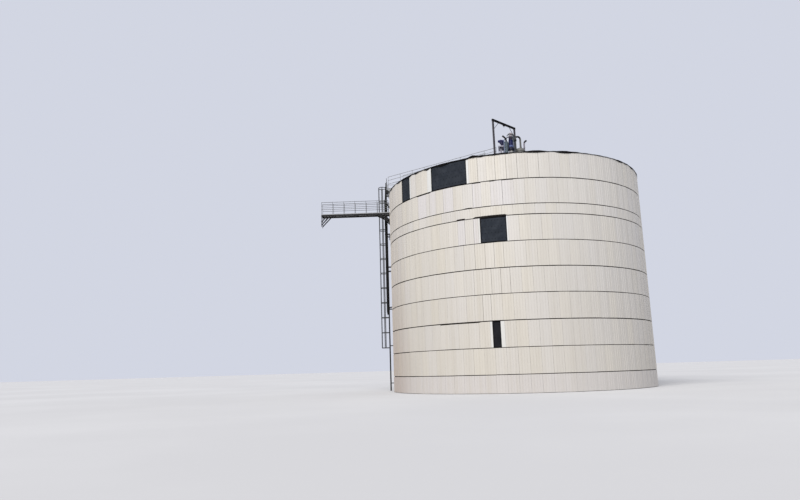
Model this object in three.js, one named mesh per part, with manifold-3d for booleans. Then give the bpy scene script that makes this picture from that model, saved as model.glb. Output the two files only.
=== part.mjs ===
// Biogas digester: an upright insulated steel tank with sheet cladding, a low cone roof with a mixer
// and a lifting gantry, a roof walkway, a caged ladder and a bridge that leads to the next tank.
// Millimetres, +Z up. The tank's axis is the Z axis and the ground is z = 0. The bridge runs along -X.
import * as THREE from 'three';
import { mergeVertices } from 'three/addons/utils/BufferGeometryUtils.js';
import Module from 'manifold-3d';

const wasm = await Module();
wasm.setup();

// Tank, roof and cladding
const CLAD_R = 11550;
const SKIN = 70;
const FIT = 0.4;
const SIDES = 72;
const STEP = 360 / SIDES;
const WALL_R = CLAD_R - SKIN - FIT;
const WALL_T = 200;
const WALL_PARTS = 4;
const FLOOR_T = 250;
const WALL_TOP = 18250;
const EAVE = 18450;
const ROOF_SLOPE = 13.8;
const ROOF_T = 150;
const CROWN_R = 1950;
const CROWN_TOP = 21350;
const CROWN_BOTTOM = 20250;
const FLASH_R = CLAD_R + 25;
const FLASH_TOP = 18475;

// Heights of the cladding joints, from the ground up, and the open joint between two courses
const JOINTS = [30, 1375, 3360, 5360, 7385, 9365, 11380, 13410, 14255, 16290, 18320];
const JOINT_GAP = 45;
const COURSE_NAMES = ['plinth_band', 'cladding_course_1', 'cladding_course_2', 'cladding_course_3',
  'cladding_course_4', 'cladding_course_5', 'cladding_course_6', 'cladding_band',
  'cladding_course_7', 'cladding_course_8'];

// Missing sheets: the bearings, in degrees from +X, between which a course has no cladding
const BARE = {
  cladding_course_2: [[-108.6, -105.6]],
  cladding_course_6: [[-111.3, -101.35]],
  cladding_course_8: [[-152.1, -146], [-132, -115.95]],
};

// Bridge to the next tank
const BRIDGE_HALF = 400;
const BRIDGE_END = -18080;
const BRIDGE_BOTTOM = 16540;
const BRIDGE_TOP = 16760;
const BRIDGE_DECK = 16730;
const BRIDGE_CROSSINGS = 6;
const CROSSING_W = 100;
const BEAM_W = 70;
const BRACE_BAR = 45;
const BRACE_LOW = 15710;
const BRACE_HIGH = 15990;
const BRACE_LONG = 820;
const BRACE_SHORT = 500;
const BRACE_SEAT = 20;
const WALL_PLATE_LOW = 15560;
const WALL_PLATE_W = 120;
const WALL_PLATE_T = 60;
const DECK_T = 60;
const DECK_INSET = 60;
const RAIL_INSET = 30;
const RAIL_WALL_GAP = 120;
const RAIL_HEIGHTS = [490, 850, 1190];
const RAIL = 44;

// Caged ladder
const LADDER_X = -11890;
const LADDER_Y = 1350;
const LADDER_HALF = 250;
const STILE_DEPTH = 90;
const STILE_WIDTH = 24;
const LADDER_TOP = 20150;
const RUNG_PITCH = 280;
const HOOP_LOW = 4020;
const HOOP_PITCH = 1421;
const HOOPS = 12;
const LADDER_LOW = 60;
const RUNG_R = 17;
const BRACKET_LOW = 760;
const BRACKET_PITCH = 3450;
const BRACKET_T = 20;
const BRACKET_H = 60;
const FOOT_PLATE_W = 140;
const FOOT_PLATE_H = 180;
const FOOT_PLATE_SINK = 30;
const HOOP_WIDTH = 70;
const HOOP_T = 10;
const STRAP_R = 17;
const CAGE_DEPTH = 750;
const CAGE_R = 400;

// Rim platform and roof walkway
const DECK_TOP = 18950;
const RIM_OUT = -11842;
const RIM_IN = -10250;
const RIM_NEAR = 430;
const RIM_FAR = 1860;
const RIM_STRIP = -11640;
const RIM_JOIST = 80;
const RIM_JOIST_H = 190;
const RIM_EDGE = 60;
const RIM_LEG = 90;
const RIM_LEG_X = -11150;
const RIM_BRACKET_LOW = 18510;
const RIM_BRACKET_BAR = 45;
const STRIP_EDGE = 40;
const WALK_HALF = 420;
const WALK_END = -1990;
const WALK_LEGS = 6;
const WALK_LEG = 70;
const CHANNEL_W = 50;
const CHANNEL_UP = 60;
const CHANNEL_DOWN = 80;
const RAIL_END = -1050;

// Lifting gantry, which stands across the tank's centre at 45 degrees
const GANTRY_X = -110;
const GANTRY_HALF = 1725;
const GANTRY_TOP = 25440;
const GANTRY_BAR = 170;
const GANTRY_POST = 140;
const GANTRY_BEARING = 45;
const GANTRY_BRACE = 900;
const GANTRY_BRACE_BAR = 28;
const GANTRY_FOOT = 150;
const BEAM_FLANGE_W = 150;
const LUG_LONG = 110;
const LUG_HALF = 50;
const LUG_DROP = 120;
const FLANGE = 16;
const WEB = 6;

// Mixer on its pedestal
const FOOT_T = 40;
const MIXER_X = 460;
const PEDESTAL_R = 240;
const PEDESTAL_FOOT_R = 280;
const PEDESTAL_HEAD_R = 320;
const GEAR_LOW = 22740;
const GEAR_R = 250;
const GEAR_FLANGE_R = 310;
const GEAR_NECK_R = 235;
const GEAR_TOP_R = 270;
const MOTOR_LOW = 23040;
const MOTOR_STEP = 23660;
const MOTOR_TOP = 24190;
const MOTOR_R = 205;
const MOTOR_TOP_R = 175;
const HOOD_LOW = 24165;
const HOOD_RISE = 210;
const HOOD_HALF = 340;
const HOOD_DEPTH = 400;
const HOOD_T = 40;
const HOOD_STEM = 120;

// Column with its gooseneck, whose route is given from the column's top
const COLUMN_X = -44;
const COLUMN_Y = -450;
const COLUMN_R = 163;
const COLUMN_FOOT_R = 200;
const COLUMN_TOP = 23380;
const NECK_R = 70;
const NECK = [[0, -60], [-16, 140], [-66, 330], [-176, 470], [-336, 610]];

// Pump on a table with two dosing bodies below it
const PUMP_X = -500;
const PUMP_HALF = 260;
const PUMP_AXIS = 23560;
const PUMP_R = 205;
const THROAT_X = -440;
const THROAT_R = 150;
const TABLE_TOP = 23180;
const TABLE_T = 150;
const TABLE_HALF = 150;
const DOSERS = [{ x: -680, radius: 75, low: 22630 }, { x: -385, radius: 95, low: 22670 }];
const PUMP_LEGS = [-725, -275];
const PUMP_LEG_W = 60;
const PUMP_LEG_HALF = 130;
const PUMP_BASE = 580;
const PUMP_BASE_HALF = 180;
const PUMP_BASE_T = 150;

// Relief valve housing with its vent
const HOUSING_X = 1290;
const HOUSING_Y = -100;
const HOUSING_R = 490;
const HOUSING_TOP = 22490;
const HOUSING_CREST = 22790;
const HOUSING_CROWN_R = 370;
const HOUSING_CROWN = 22700;
const VENT_R = 75;
const VENT = [[1730, 22370], [1730, 23120], [1745, 23290], [1840, 23460], [1980, 23550]];

// Gas pipe, which rises beside the housing and loops over into it; its route gives the share of the way
// from foot to end with the height there
const LOOP_R = 90;
const LOOP_FOOT = { x: 784, y: -700 };
const LOOP_END = { x: 1374, y: -140 };
const LOOP_PLATE = 290;
const LOOP_ROUTE = [[0, 22970], [0, 23510], [0.14, 23711], [0.5, 23857], [0.85, 23860], [1, 23718]];

// Downcomer pipe beside the ladder
const PIPE_R = 100;
const PIPE_X = -11985;
const PIPE_Y = 750;
const PIPE_TOP = 18290;
const PIPE_LOW = 7050;
const STUB_R = 50;
const STUB_TOP = 19600;
const STUB_LEAN = 60;
const BRANCH_R = 75;
const BRANCH_LOW = 17400;
const BRANCH_TOP = 18050;
const TIP_R = 35;
const TIP_RISE = 300;
const OUTLET_R = 55;
const OUTLET_LOW = 7700;
const OUTLET_HIGH = 7820;
const CLAMP_HEIGHTS = [14560, 11090];
const CLAMP_T = 15;
const CLAMP_H = 60;
const CLAMP_ARM = 50;

const rad = THREE.MathUtils.degToRad;
const slope = Math.tan(rad(ROOF_SLOPE));
const intoWall = -CLAD_R + SKIN + WALL_T;
const roofTop = (radius) => EAVE + (WALL_R - radius) * slope;
const vec = (x, y, z) => new THREE.Vector3(x, y, z);

// Solids from three.js geometries
function solid(geometry) {
  geometry.deleteAttribute('normal');
  geometry.deleteAttribute('uv');
  const merged = mergeVertices(geometry, 0.001);
  return new wasm.Manifold(new wasm.Mesh({
    numProp: 3,
    vertProperties: new Float32Array(merged.attributes.position.array),
    triVerts: new Uint32Array(merged.index.array),
  }));
}

function joined(solids) {
  return solids.reduce((whole, next) => whole.add(next));
}

function box(x0, x1, y0, y1, z0, z1) {
  const geometry = new THREE.BoxGeometry(x1 - x0, y1 - y0, z1 - z0);
  geometry.translate((x0 + x1) / 2, (y0 + y1) / 2, (z0 + z1) / 2);
  return solid(geometry);
}

function prism(points, low, high, hole = null) {
  const shape = new THREE.Shape(points);
  if (hole) shape.holes.push(new THREE.Path(hole));
  const geometry = new THREE.ExtrudeGeometry(shape, { depth: high - low, bevelEnabled: false });
  geometry.translate(0, 0, low);
  return solid(geometry);
}

// A straight bar from one point to another; four sides make a square bar
function bar(from, to, radius, sides = 4) {
  const length = from.distanceTo(to);
  const geometry = new THREE.CylinderGeometry(radius, radius, length, sides);
  if (sides === 4) geometry.rotateY(Math.PI / 4);
  const turn = new THREE.Quaternion().setFromUnitVectors(vec(0, 1, 0), to.clone().sub(from).normalize());
  geometry.applyQuaternion(turn);
  const middle = from.clone().add(to).multiplyScalar(0.5);
  geometry.translate(middle.x, middle.y, middle.z);
  return solid(geometry);
}

// A round piece on an upright axis, from its profile of radius and height
function turned(profile, x, y, sides) {
  const geometry = new THREE.LatheGeometry(profile.map(([r, z]) => new THREE.Vector2(r, z)), sides);
  geometry.rotateX(Math.PI / 2);
  geometry.translate(x, y, 0);
  return solid(geometry);
}

// A round pipe along a smooth curve
function pipe(points, radius, steps, sides = 10) {
  const section = new THREE.Shape();
  for (let i = 0; i < sides; i += 1) {
    const angle = (i / sides) * Math.PI * 2;
    const point = [radius * Math.cos(angle), radius * Math.sin(angle)];
    if (i === 0) section.moveTo(...point);
    else section.lineTo(...point);
  }
  section.closePath();
  const path = new THREE.CatmullRomCurve3(points, false, 'centripetal');
  return solid(new THREE.ExtrudeGeometry(section, { steps, extrudePath: path, bevelEnabled: false }));
}

// Points on the many-sided plan of the tank
function onRing(radius, degrees) {
  const middle = (Math.floor(degrees / STEP) + 0.5) * STEP;
  const reach = radius * Math.cos(rad(STEP / 2)) / Math.cos(rad(degrees - middle));
  return new THREE.Vector2(reach * Math.cos(rad(degrees)), reach * Math.sin(rad(degrees)));
}

function arc(radius, from, to) {
  const points = [onRing(radius, from)];
  for (let a = (Math.floor(from / STEP) + 1) * STEP; a < to - 0.01; a += STEP) {
    points.push(onRing(radius, a));
  }
  points.push(onRing(radius, to));
  return points;
}

function ringStretch(inner, outer, from, to, low, high) {
  return prism([...arc(outer, from, to), ...arc(inner, from, to).reverse()], low, high);
}

function wholeRing(radius) {
  return arc(radius, 0, 360 - STEP);
}

// The tank's outside and the roof's top, a little enlarged, to trim what stands against them
const tankOutside = prism(wholeRing(CLAD_R + FIT), 0, FLASH_TOP + FIT);
const roofOutside = turned([[0, 0], [CLAD_R, 0], [CLAD_R, EAVE + FIT], [WALL_R, EAVE + FIT],
  [CROWN_R, roofTop(CROWN_R) + FIT], [0, roofTop(CROWN_R) + FIT]], 0, 0, SIDES);

// Materials
function paint(color, roughness, metalness) {
  return new THREE.MeshStandardMaterial({ color, roughness, metalness });
}
const ivory = paint(0xd6d1c6, 0.55, 0.1);
const lilac = paint(0xdedbe0, 0.5, 0.1);
const foam = paint(0x32393e, 0.9, 0);
const concrete = paint(0x9a9892, 0.9, 0);
const darkSheet = paint(0x1f2022, 0.6, 0.3);
const darkSteel = paint(0x34353a, 0.6, 0.5);
const galvanised = paint(0xa7abaf, 0.45, 0.8);
const motorBlue = paint(0x1d2a66, 0.4, 0.3);
const greyGreen = paint(0x7d8c8c, 0.5, 0.3);
const pipeBlack = paint(0x1c1d1f, 0.7, 0.1);

const digester = new THREE.Group();

function piece(name, shape, material) {
  const mesh = shape.getMesh();
  const geometry = new THREE.BufferGeometry();
  geometry.setAttribute('position', new THREE.BufferAttribute(new Float32Array(mesh.vertProperties), 3));
  geometry.setIndex(new THREE.BufferAttribute(new Uint32Array(mesh.triVerts), 1));
  geometry.computeVertexNormals();
  const node = new THREE.Mesh(geometry, material);
  node.name = name;
  digester.add(node);
}

// Floor and wall
piece('tank_floor', prism(wholeRing(WALL_R), 0, FLOOR_T), concrete);
const span = 360 / WALL_PARTS;
const slit = 0.002;
for (let i = 0; i < WALL_PARTS; i += 1) {
  const wall = ringStretch(WALL_R - WALL_T, WALL_R, i * span, (i + 1) * span - slit,
    FLOOR_T + FIT, WALL_TOP);
  piece(`tank_wall_${i + 1}`, wall, foam);
}

// Roof: a low cone in sectors, which rests on the wall and meets the crown
const roofRing = turned([[WALL_R, WALL_TOP + FIT], [WALL_R, EAVE], [CROWN_R + FIT, roofTop(CROWN_R)],
  [CROWN_R + FIT, roofTop(CROWN_R) - ROOF_T], [WALL_R - WALL_T, roofTop(WALL_R - WALL_T) - ROOF_T],
  [WALL_R - WALL_T, WALL_TOP + FIT], [WALL_R, WALL_TOP + FIT]], 0, 0, SIDES);
for (let i = 0; i < WALL_PARTS; i += 1) {
  const wedge = ringStretch(100, CLAD_R * 1.2, i * span, (i + 1) * span - slit, WALL_TOP - 100, CROWN_TOP);
  piece(`roof_sector_${i + 1}`, roofRing.intersect(wedge), darkSheet);
}
piece('roof_crown', prism(wholeRing(CROWN_R), CROWN_BOTTOM, CROWN_TOP), darkSheet);
piece('rim_flashing', prism(wholeRing(FLASH_R), JOINTS[10] + FIT, FLASH_TOP, wholeRing(WALL_R + FIT)),
  darkSheet);

// Cladding: one course above the other, open where sheets are missing
function course(name, index) {
  const low = JOINTS[index] + (index ? JOINT_GAP / 2 : 0);
  const high = JOINTS[index + 1] - (index < COURSE_NAMES.length - 1 ? JOINT_GAP / 2 : 0);
  const material = index === 0 ? lilac : ivory;
  const bare = BARE[name] ?? [];
  if (bare.length === 0) {
    piece(name, prism(wholeRing(CLAD_R), low, high, wholeRing(CLAD_R - SKIN)), material);
    return;
  }
  bare.forEach(([, start], i) => {
    const last = i === bare.length - 1;
    const end = last ? bare[0][0] + 360 : bare[i + 1][0];
    const stretch = ringStretch(CLAD_R - SKIN, CLAD_R, start, end, low, high);
    piece(last ? name : `${name}_short`, stretch, material);
  });
}
COURSE_NAMES.forEach(course);

// Railing panel: posts and rails in one upright plane, from one foot to another
function railing(from, to, bays) {
  const bars = [];
  const along = to.clone().sub(from);
  const up = vec(0, 0, RAIL_HEIGHTS[2]);
  for (let i = 0; i <= bays; i += 1) {
    const foot = from.clone().addScaledVector(along, i / bays);
    bars.push(bar(foot, foot.clone().add(up), RAIL / 2 * Math.SQRT2));
  }
  for (const height of RAIL_HEIGHTS) {
    const lift = vec(0, 0, height - RAIL / 2);
    const reach = along.clone().setLength(RAIL / 2 - 1);
    bars.push(bar(from.clone().add(lift).sub(reach), to.clone().add(lift).add(reach), RAIL / 2));
  }
  return joined(bars);
}

// Bridge: two side beams with cross members, a deck between them, knee braces at both ends
function bridgeFrame() {
  const parts = [];
  const headZ = BRIDGE_BOTTOM + BRACE_SEAT;
  const half = WALL_PLATE_W / 2;
  const inside = BRIDGE_HALF - BEAM_W / 2;
  for (const side of [-1, 1]) {
    const y0 = side > 0 ? BRIDGE_HALF - BEAM_W : -BRIDGE_HALF;
    parts.push(box(BRIDGE_END, intoWall, y0, y0 + BEAM_W, BRIDGE_BOTTOM, BRIDGE_TOP));
    const y = side * inside;
    const nearFoot = vec(-CLAD_R + WALL_PLATE_T, y, BRACE_LOW);
    parts.push(bar(nearFoot, vec(-CLAD_R - BRACE_LONG, y, headZ), BRACE_BAR));
    parts.push(bar(nearFoot.clone().setZ(BRACE_HIGH), vec(-CLAD_R - BRACE_SHORT, y, headZ), BRACE_BAR));
    parts.push(box(-CLAD_R - WALL_PLATE_T / 2, intoWall, y - half, y + half, WALL_PLATE_LOW, headZ));
    const farFoot = vec(BRIDGE_END + WALL_PLATE_T / 2, y, BRACE_LOW);
    parts.push(bar(farFoot, vec(BRIDGE_END + BRACE_LONG, y, headZ), BRACE_BAR));
    parts.push(bar(farFoot.clone().setZ(BRACE_HIGH), vec(BRIDGE_END + BRACE_SHORT, y, headZ), BRACE_BAR));
    parts.push(box(BRIDGE_END, BRIDGE_END + WALL_PLATE_T, y - half, y + half, WALL_PLATE_LOW, headZ));
  }
  for (let i = 0; i <= BRIDGE_CROSSINGS; i += 1) {
    const x0 = THREE.MathUtils.lerp(BRIDGE_END, -CLAD_R - 1.5 * CROSSING_W, i / BRIDGE_CROSSINGS);
    parts.push(box(x0, x0 + CROSSING_W, -inside, inside, BRIDGE_BOTTOM, BRIDGE_DECK - DECK_T - FIT));
  }
  const beyond = box(BRIDGE_END - BRACE_LONG, BRIDGE_END, -BRIDGE_HALF, BRIDGE_HALF, 0, EAVE);
  return joined(parts).subtract(tankOutside).subtract(beyond);
}
piece('bridge_frame', bridgeFrame(), darkSteel);
const bridgeInside = BRIDGE_HALF - BEAM_W - FIT;
piece('bridge_deck', box(BRIDGE_END, -CLAD_R - DECK_INSET, -bridgeInside, bridgeInside,
  BRIDGE_DECK - DECK_T, BRIDGE_DECK), galvanised);
for (const [side, name] of [[-1, 'bridge_railing_near'], [1, 'bridge_railing_far']]) {
  const y = side * (BRIDGE_HALF - BEAM_W / 2);
  const from = vec(BRIDGE_END + RAIL_INSET, y, BRIDGE_TOP + FIT);
  const to = from.clone().setX(-CLAD_R - RAIL_WALL_GAP);
  piece(name, railing(from, to, BRIDGE_CROSSINGS), galvanised);
}

// Ladder: two stiles, rungs and stand-off brackets to the wall
const stileFront = LADDER_X - STILE_DEPTH / 2;
const stileBack = LADDER_X + STILE_DEPTH / 2;
function bracketBox(x, y, z, width, height) {
  return box(x, intoWall, y - width / 2, y + width / 2, z - height / 2, z + height / 2);
}
function ladder() {
  const parts = [];
  for (const side of [-1, 1]) {
    const y = LADDER_Y + side * LADDER_HALF;
    parts.push(box(stileFront, stileBack, y - STILE_WIDTH / 2, y + STILE_WIDTH / 2, LADDER_LOW, DECK_TOP));
    for (let z = BRACKET_LOW; z < WALL_TOP; z += BRACKET_PITCH) {
      parts.push(bracketBox(LADDER_X - BRACKET_T, y, z, BRACKET_T, BRACKET_H));
      parts.push(bracketBox(-CLAD_R + FOOT_PLATE_SINK, y, z, FOOT_PLATE_W, FOOT_PLATE_H));
    }
  }
  for (let z = LADDER_LOW + RUNG_PITCH; z < DECK_TOP; z += RUNG_PITCH) {
    const left = vec(LADDER_X, LADDER_Y - LADDER_HALF, z);
    parts.push(bar(left, left.clone().setY(LADDER_Y + LADDER_HALF), RUNG_R));
  }
  return joined(parts).subtract(tankOutside);
}
piece('ladder', ladder(), galvanised);

// Grab rails: the stiles go on above the deck, so that a climber steps through between them
for (const [side, name] of [[-1, 'grab_rail_near'], [1, 'grab_rail_far']]) {
  const y = LADDER_Y + side * LADDER_HALF;
  const half = STILE_WIDTH / 2;
  piece(name, box(stileFront, stileBack, y - half, y + half, DECK_TOP + FIT, LADDER_TOP), galvanised);
}

// Safety cage in three bent lattices, each with flat hoops tied by upright straps.
// A hoop leaves the stile, widens to a half circle and comes back to the other stile.
const cageX = LADDER_X - CAGE_DEPTH + CAGE_R;
const cageLow = HOOP_LOW - HOOP_WIDTH / 2;
const cageHigh = HOOP_LOW + (HOOPS - 1) * HOOP_PITCH + HOOP_WIDTH / 2;
function hoopArc(radius, from, to) {
  const points = [];
  const turns = Math.round((to - from) / 15);
  for (let i = 0; i <= turns; i += 1) {
    const angle = rad(THREE.MathUtils.lerp(from, to, i / turns));
    points.push(new THREE.Vector2(cageX + radius * Math.cos(angle), LADDER_Y + radius * Math.sin(angle)));
  }
  return points;
}
function cageLattice(outer, inner, strapBearings) {
  const outline = [...outer, ...inner.reverse()];
  const parts = [];
  for (let i = 0; i < HOOPS; i += 1) {
    const low = cageLow + i * HOOP_PITCH;
    parts.push(prism(outline, low, low + HOOP_WIDTH));
  }
  for (const bearing of strapBearings) {
    const reach = CAGE_R - HOOP_T / 2;
    const x = cageX + reach * Math.cos(rad(bearing));
    const y = LADDER_Y + reach * Math.sin(rad(bearing));
    parts.push(bar(vec(x, y, cageLow), vec(x, y, cageHigh), STRAP_R, 6));
  }
  return joined(parts);
}
const CAGE_SPLIT = 135;
const split = 0.05;
function cageSide(side) {
  const front = (drop) => new THREE.Vector2(stileFront - FIT, LADDER_Y + LADDER_HALF + 4 - drop);
  const outer = [front(0), ...hoopArc(CAGE_R, 90, CAGE_SPLIT - split)];
  const inner = [front(HOOP_T), ...hoopArc(CAGE_R - HOOP_T, 90, CAGE_SPLIT - split)];
  const half = cageLattice(outer, inner, [105]);
  if (side > 0) return half;
  return half.translate([0, -LADDER_Y, 0]).mirror([0, 1, 0]).translate([0, LADDER_Y, 0]);
}
piece('ladder_cage_near', cageSide(-1), galvanised);
piece('ladder_cage_far', cageSide(1), galvanised);
piece('ladder_cage_back', cageLattice(hoopArc(CAGE_R, CAGE_SPLIT, 360 - CAGE_SPLIT),
  hoopArc(CAGE_R - HOOP_T, CAGE_SPLIT, 360 - CAGE_SPLIT), [150, 180, 210]), galvanised);

// Rim platform on short legs: a landing beside the walkway, and a strip across the walkway's low end
function rimPlatform() {
  const parts = [
    box(RIM_OUT, RIM_IN, RIM_NEAR, RIM_FAR, DECK_TOP - DECK_T, DECK_TOP),
    box(RIM_OUT, RIM_STRIP, -WALK_HALF, RIM_NEAR + 1, DECK_TOP - DECK_T, DECK_TOP),
  ];
  const half = RIM_JOIST / 2;
  const joistTop = DECK_TOP - 10;
  const joistLow = joistTop - RIM_JOIST_H;
  const stripY = -WALK_HALF + STRIP_EDGE;
  for (const y of [stripY, RIM_NEAR + RIM_EDGE, (RIM_NEAR + RIM_FAR) / 2, RIM_FAR - RIM_EDGE]) {
    const onStrip = y === stripY;
    parts.push(box(RIM_OUT, onStrip ? RIM_STRIP : RIM_IN, y - half, y + half, joistLow, joistTop));
    const bracketFoot = vec(-CLAD_R - 10, y, RIM_BRACKET_LOW);
    parts.push(bar(bracketFoot, vec(RIM_OUT + RIM_EDGE, y, joistLow + half), RIM_BRACKET_BAR));
    if (onStrip) continue;
    for (const x of [RIM_LEG_X, RIM_IN - RIM_EDGE]) {
      parts.push(box(x - RIM_LEG / 2, x + RIM_LEG / 2, y - half, y + half, WALL_TOP, joistTop));
    }
  }
  return joined(parts).subtract(roofOutside).subtract(tankOutside);
}
piece('rim_platform', rimPlatform(), darkSteel);
const rimFoot = DECK_TOP + FIT;
const rimX = RIM_OUT + RIM_EDGE;
const innerX = RIM_IN - RIM_EDGE;
const farY = RIM_FAR - RAIL_INSET;
const rimRails = {
  rim_railing_far: [vec(rimX, farY, rimFoot), vec(innerX, farY, rimFoot)],
  rim_railing_outer: [vec(rimX, -WALK_HALF + RAIL_INSET, rimFoot),
    vec(rimX, LADDER_Y - LADDER_HALF - RIM_EDGE, rimFoot)],
  rim_railing_inner: [vec(innerX, RIM_NEAR + RIM_EDGE, rimFoot), vec(innerX, farY - 2 * RAIL, rimFoot)],
};
for (const [name, [from, to]] of Object.entries(rimRails)) {
  piece(name, railing(from, to, 2), galvanised);
}

// Roof walkway: a sloping deck between two side channels, on short legs
const walkStart = RIM_STRIP + FIT;
const walkTop = (x) => DECK_TOP + (x - RIM_OUT) * slope;
function walkway() {
  const slab = (up, down) => [
    new THREE.Vector2(walkStart, walkTop(walkStart) + up),
    new THREE.Vector2(walkStart, walkTop(walkStart) - down),
    new THREE.Vector2(WALK_END, walkTop(WALK_END) - down),
    new THREE.Vector2(WALK_END, walkTop(WALK_END) + up),
  ];
  const sheet = (points, depth, y) => {
    const geometry = new THREE.ExtrudeGeometry(new THREE.Shape(points), { depth, bevelEnabled: false });
    geometry.rotateX(Math.PI / 2);
    geometry.translate(0, y + depth, 0);
    return solid(geometry);
  };
  const parts = [sheet(slab(0, DECK_T), 2 * WALK_HALF, -WALK_HALF)];
  for (const side of [-1, 1]) {
    const y0 = side > 0 ? WALK_HALF - CHANNEL_W : -WALK_HALF;
    parts.push(sheet(slab(CHANNEL_UP, DECK_T + CHANNEL_DOWN), CHANNEL_W, y0));
    for (let i = 0; i < WALK_LEGS; i += 1) {
      const x = THREE.MathUtils.lerp(walkStart + 300, WALK_END - 200, i / (WALK_LEGS - 1));
      const [x0, x1] = [x - WALK_LEG / 2, x + WALK_LEG / 2];
      parts.push(box(x0, x1, y0 - 5, y0 + CHANNEL_W + 5, roofTop(-x) - ROOF_T, walkTop(x) - DECK_T / 2));
    }
  }
  return joined(parts).subtract(roofOutside);
}
piece('roof_walkway', walkway(), galvanised);

// Its railings: the near one starts at the rim and runs on over the crown, where its last post stands;
// the far one leaves the landing and the crown open
const railFoot = (x, y) => vec(x, y, walkTop(x) + CHANNEL_UP + (RAIL / 2) * slope + FIT);
const railY = WALK_HALF - CHANNEL_W / 2;
const nearEnd = railFoot(RAIL_END, -railY);
const lastFoot = nearEnd.clone().setZ(CROWN_TOP + FIT);
const lastPost = bar(lastFoot, nearEnd.clone().setZ(nearEnd.z + 50), RAIL / 2 * Math.SQRT2);
const nearRails = railing(railFoot(walkStart + 50, -railY), nearEnd, 9);
const farRails = railing(railFoot(RIM_IN + 100, railY), railFoot(WALK_END - 60, railY), 7);
piece('walkway_railing_near', nearRails.add(lastPost), galvanised);
piece('walkway_railing_far', farRails, galvanised);

// Lifting gantry of rolled H sections: two posts with knee braces and a beam with a lifting lug.
// It is laid out along X, centred on the tank, and then turned.
const beamLow = GANTRY_TOP - GANTRY_BAR;
const gantryReach = GANTRY_HALF + GANTRY_POST / 2;
function sectionH(width, height) {
  const [w, h] = [width / 2, height / 2];
  const corners = [[w, -h], [w, -h + FLANGE], [WEB, -h + FLANGE], [WEB, h - FLANGE], [w, h - FLANGE], [w, h]];
  const others = corners.map(([x, y]) => [-x, y]).reverse();
  return [...corners, ...others].map(([x, y]) => new THREE.Vector2(x, y));
}
function turnedGantry(shape) {
  return shape.rotate([0, 0, GANTRY_BEARING]).translate([GANTRY_X, 0, 0]);
}
function gantryPost(side) {
  const u = side * GANTRY_HALF;
  const profile = sectionH(GANTRY_POST, GANTRY_POST).map((p) => new THREE.Vector2(p.y + u, p.x));
  const foot = GANTRY_FOOT;
  const braceHead = vec(u - side * GANTRY_BRACE, 0, beamLow + GANTRY_BRACE_BAR);
  const parts = [
    prism(profile.reverse(), CROWN_TOP + FIT, beamLow - FIT),
    box(u - foot, u + foot, -foot, foot, CROWN_TOP + FIT, CROWN_TOP + FOOT_T),
    bar(vec(u, 0, beamLow - GANTRY_BRACE), braceHead, GANTRY_BRACE_BAR),
  ];
  const above = box(-gantryReach, gantryReach, -foot, foot, beamLow - FIT, GANTRY_TOP);
  return turnedGantry(joined(parts).subtract(above));
}
piece('gantry_post_near', gantryPost(-1), darkSteel);
piece('gantry_post_far', gantryPost(1), darkSteel);
function gantryBeam() {
  const geometry = new THREE.ExtrudeGeometry(new THREE.Shape(sectionH(BEAM_FLANGE_W, GANTRY_BAR)),
    { depth: 2 * gantryReach, bevelEnabled: false });
  geometry.rotateX(Math.PI / 2);
  geometry.rotateZ(Math.PI / 2);
  geometry.translate(-gantryReach, 0, beamLow + GANTRY_BAR / 2);
  const lug = box(-LUG_LONG, LUG_LONG, -LUG_HALF, LUG_HALF, beamLow - LUG_DROP, beamLow + FLANGE / 2);
  return turnedGantry(joined([solid(geometry), lug]));
}
piece('gantry_beam', gantryBeam(), darkSteel);

// Mixer: a pedestal with a vertical geared motor under a rain hood
piece('mixer_pedestal', turned([[0, CROWN_TOP + FIT], [PEDESTAL_FOOT_R, CROWN_TOP + FIT],
  [PEDESTAL_FOOT_R, CROWN_TOP + FOOT_T], [PEDESTAL_R, CROWN_TOP + FOOT_T], [PEDESTAL_R, GEAR_LOW - FOOT_T],
  [PEDESTAL_HEAD_R, GEAR_LOW - FOOT_T], [PEDESTAL_HEAD_R, GEAR_LOW - FIT], [0, GEAR_LOW - FIT]],
MIXER_X, 0, 16), greyGreen);
piece('mixer_gearbox', turned([[0, GEAR_LOW], [GEAR_FLANGE_R, GEAR_LOW], [GEAR_FLANGE_R, GEAR_LOW + 60],
  [GEAR_R, GEAR_LOW + 110], [GEAR_NECK_R, MOTOR_LOW - 110], [GEAR_TOP_R, MOTOR_LOW - 60],
  [GEAR_TOP_R, MOTOR_LOW - FIT], [0, MOTOR_LOW - FIT]], MIXER_X, 0, 16), motorBlue);
piece('mixer_motor', turned([[0, MOTOR_LOW], [GEAR_R, MOTOR_LOW], [GEAR_R, MOTOR_LOW + 60],
  [MOTOR_R, MOTOR_LOW + 90], [MOTOR_R, MOTOR_STEP], [MOTOR_TOP_R, MOTOR_STEP + 50],
  [MOTOR_TOP_R, MOTOR_TOP], [0, MOTOR_TOP]], MIXER_X, 0, 16), motorBlue);
function rainHood() {
  const turns = 8;
  const arch = (half, low) => Array.from({ length: turns + 1 }, (_, i) => {
    const t = -1 + (2 * i) / turns;
    return new THREE.Vector2(MIXER_X + half * t, low + HOOD_RISE * (1 - t * t));
  });
  const outline = [...arch(HOOD_HALF, HOOD_LOW), ...arch(HOOD_HALF - 15, HOOD_LOW - HOOD_T).reverse()];
  const shape = new THREE.Shape(outline);
  const geometry = new THREE.ExtrudeGeometry(shape, { depth: HOOD_DEPTH, bevelEnabled: false });
  geometry.rotateX(Math.PI / 2);
  geometry.translate(0, HOOD_DEPTH / 2, 0);
  const half = HOOD_STEM / 2;
  const stemTop = HOOD_LOW + HOOD_RISE - HOOD_T / 2;
  const stem = box(MIXER_X - half, MIXER_X + half, -half, half, MOTOR_TOP + FIT, stemTop);
  return joined([solid(geometry), stem]);
}
piece('mixer_rain_hood', rainHood(), galvanised);

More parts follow.
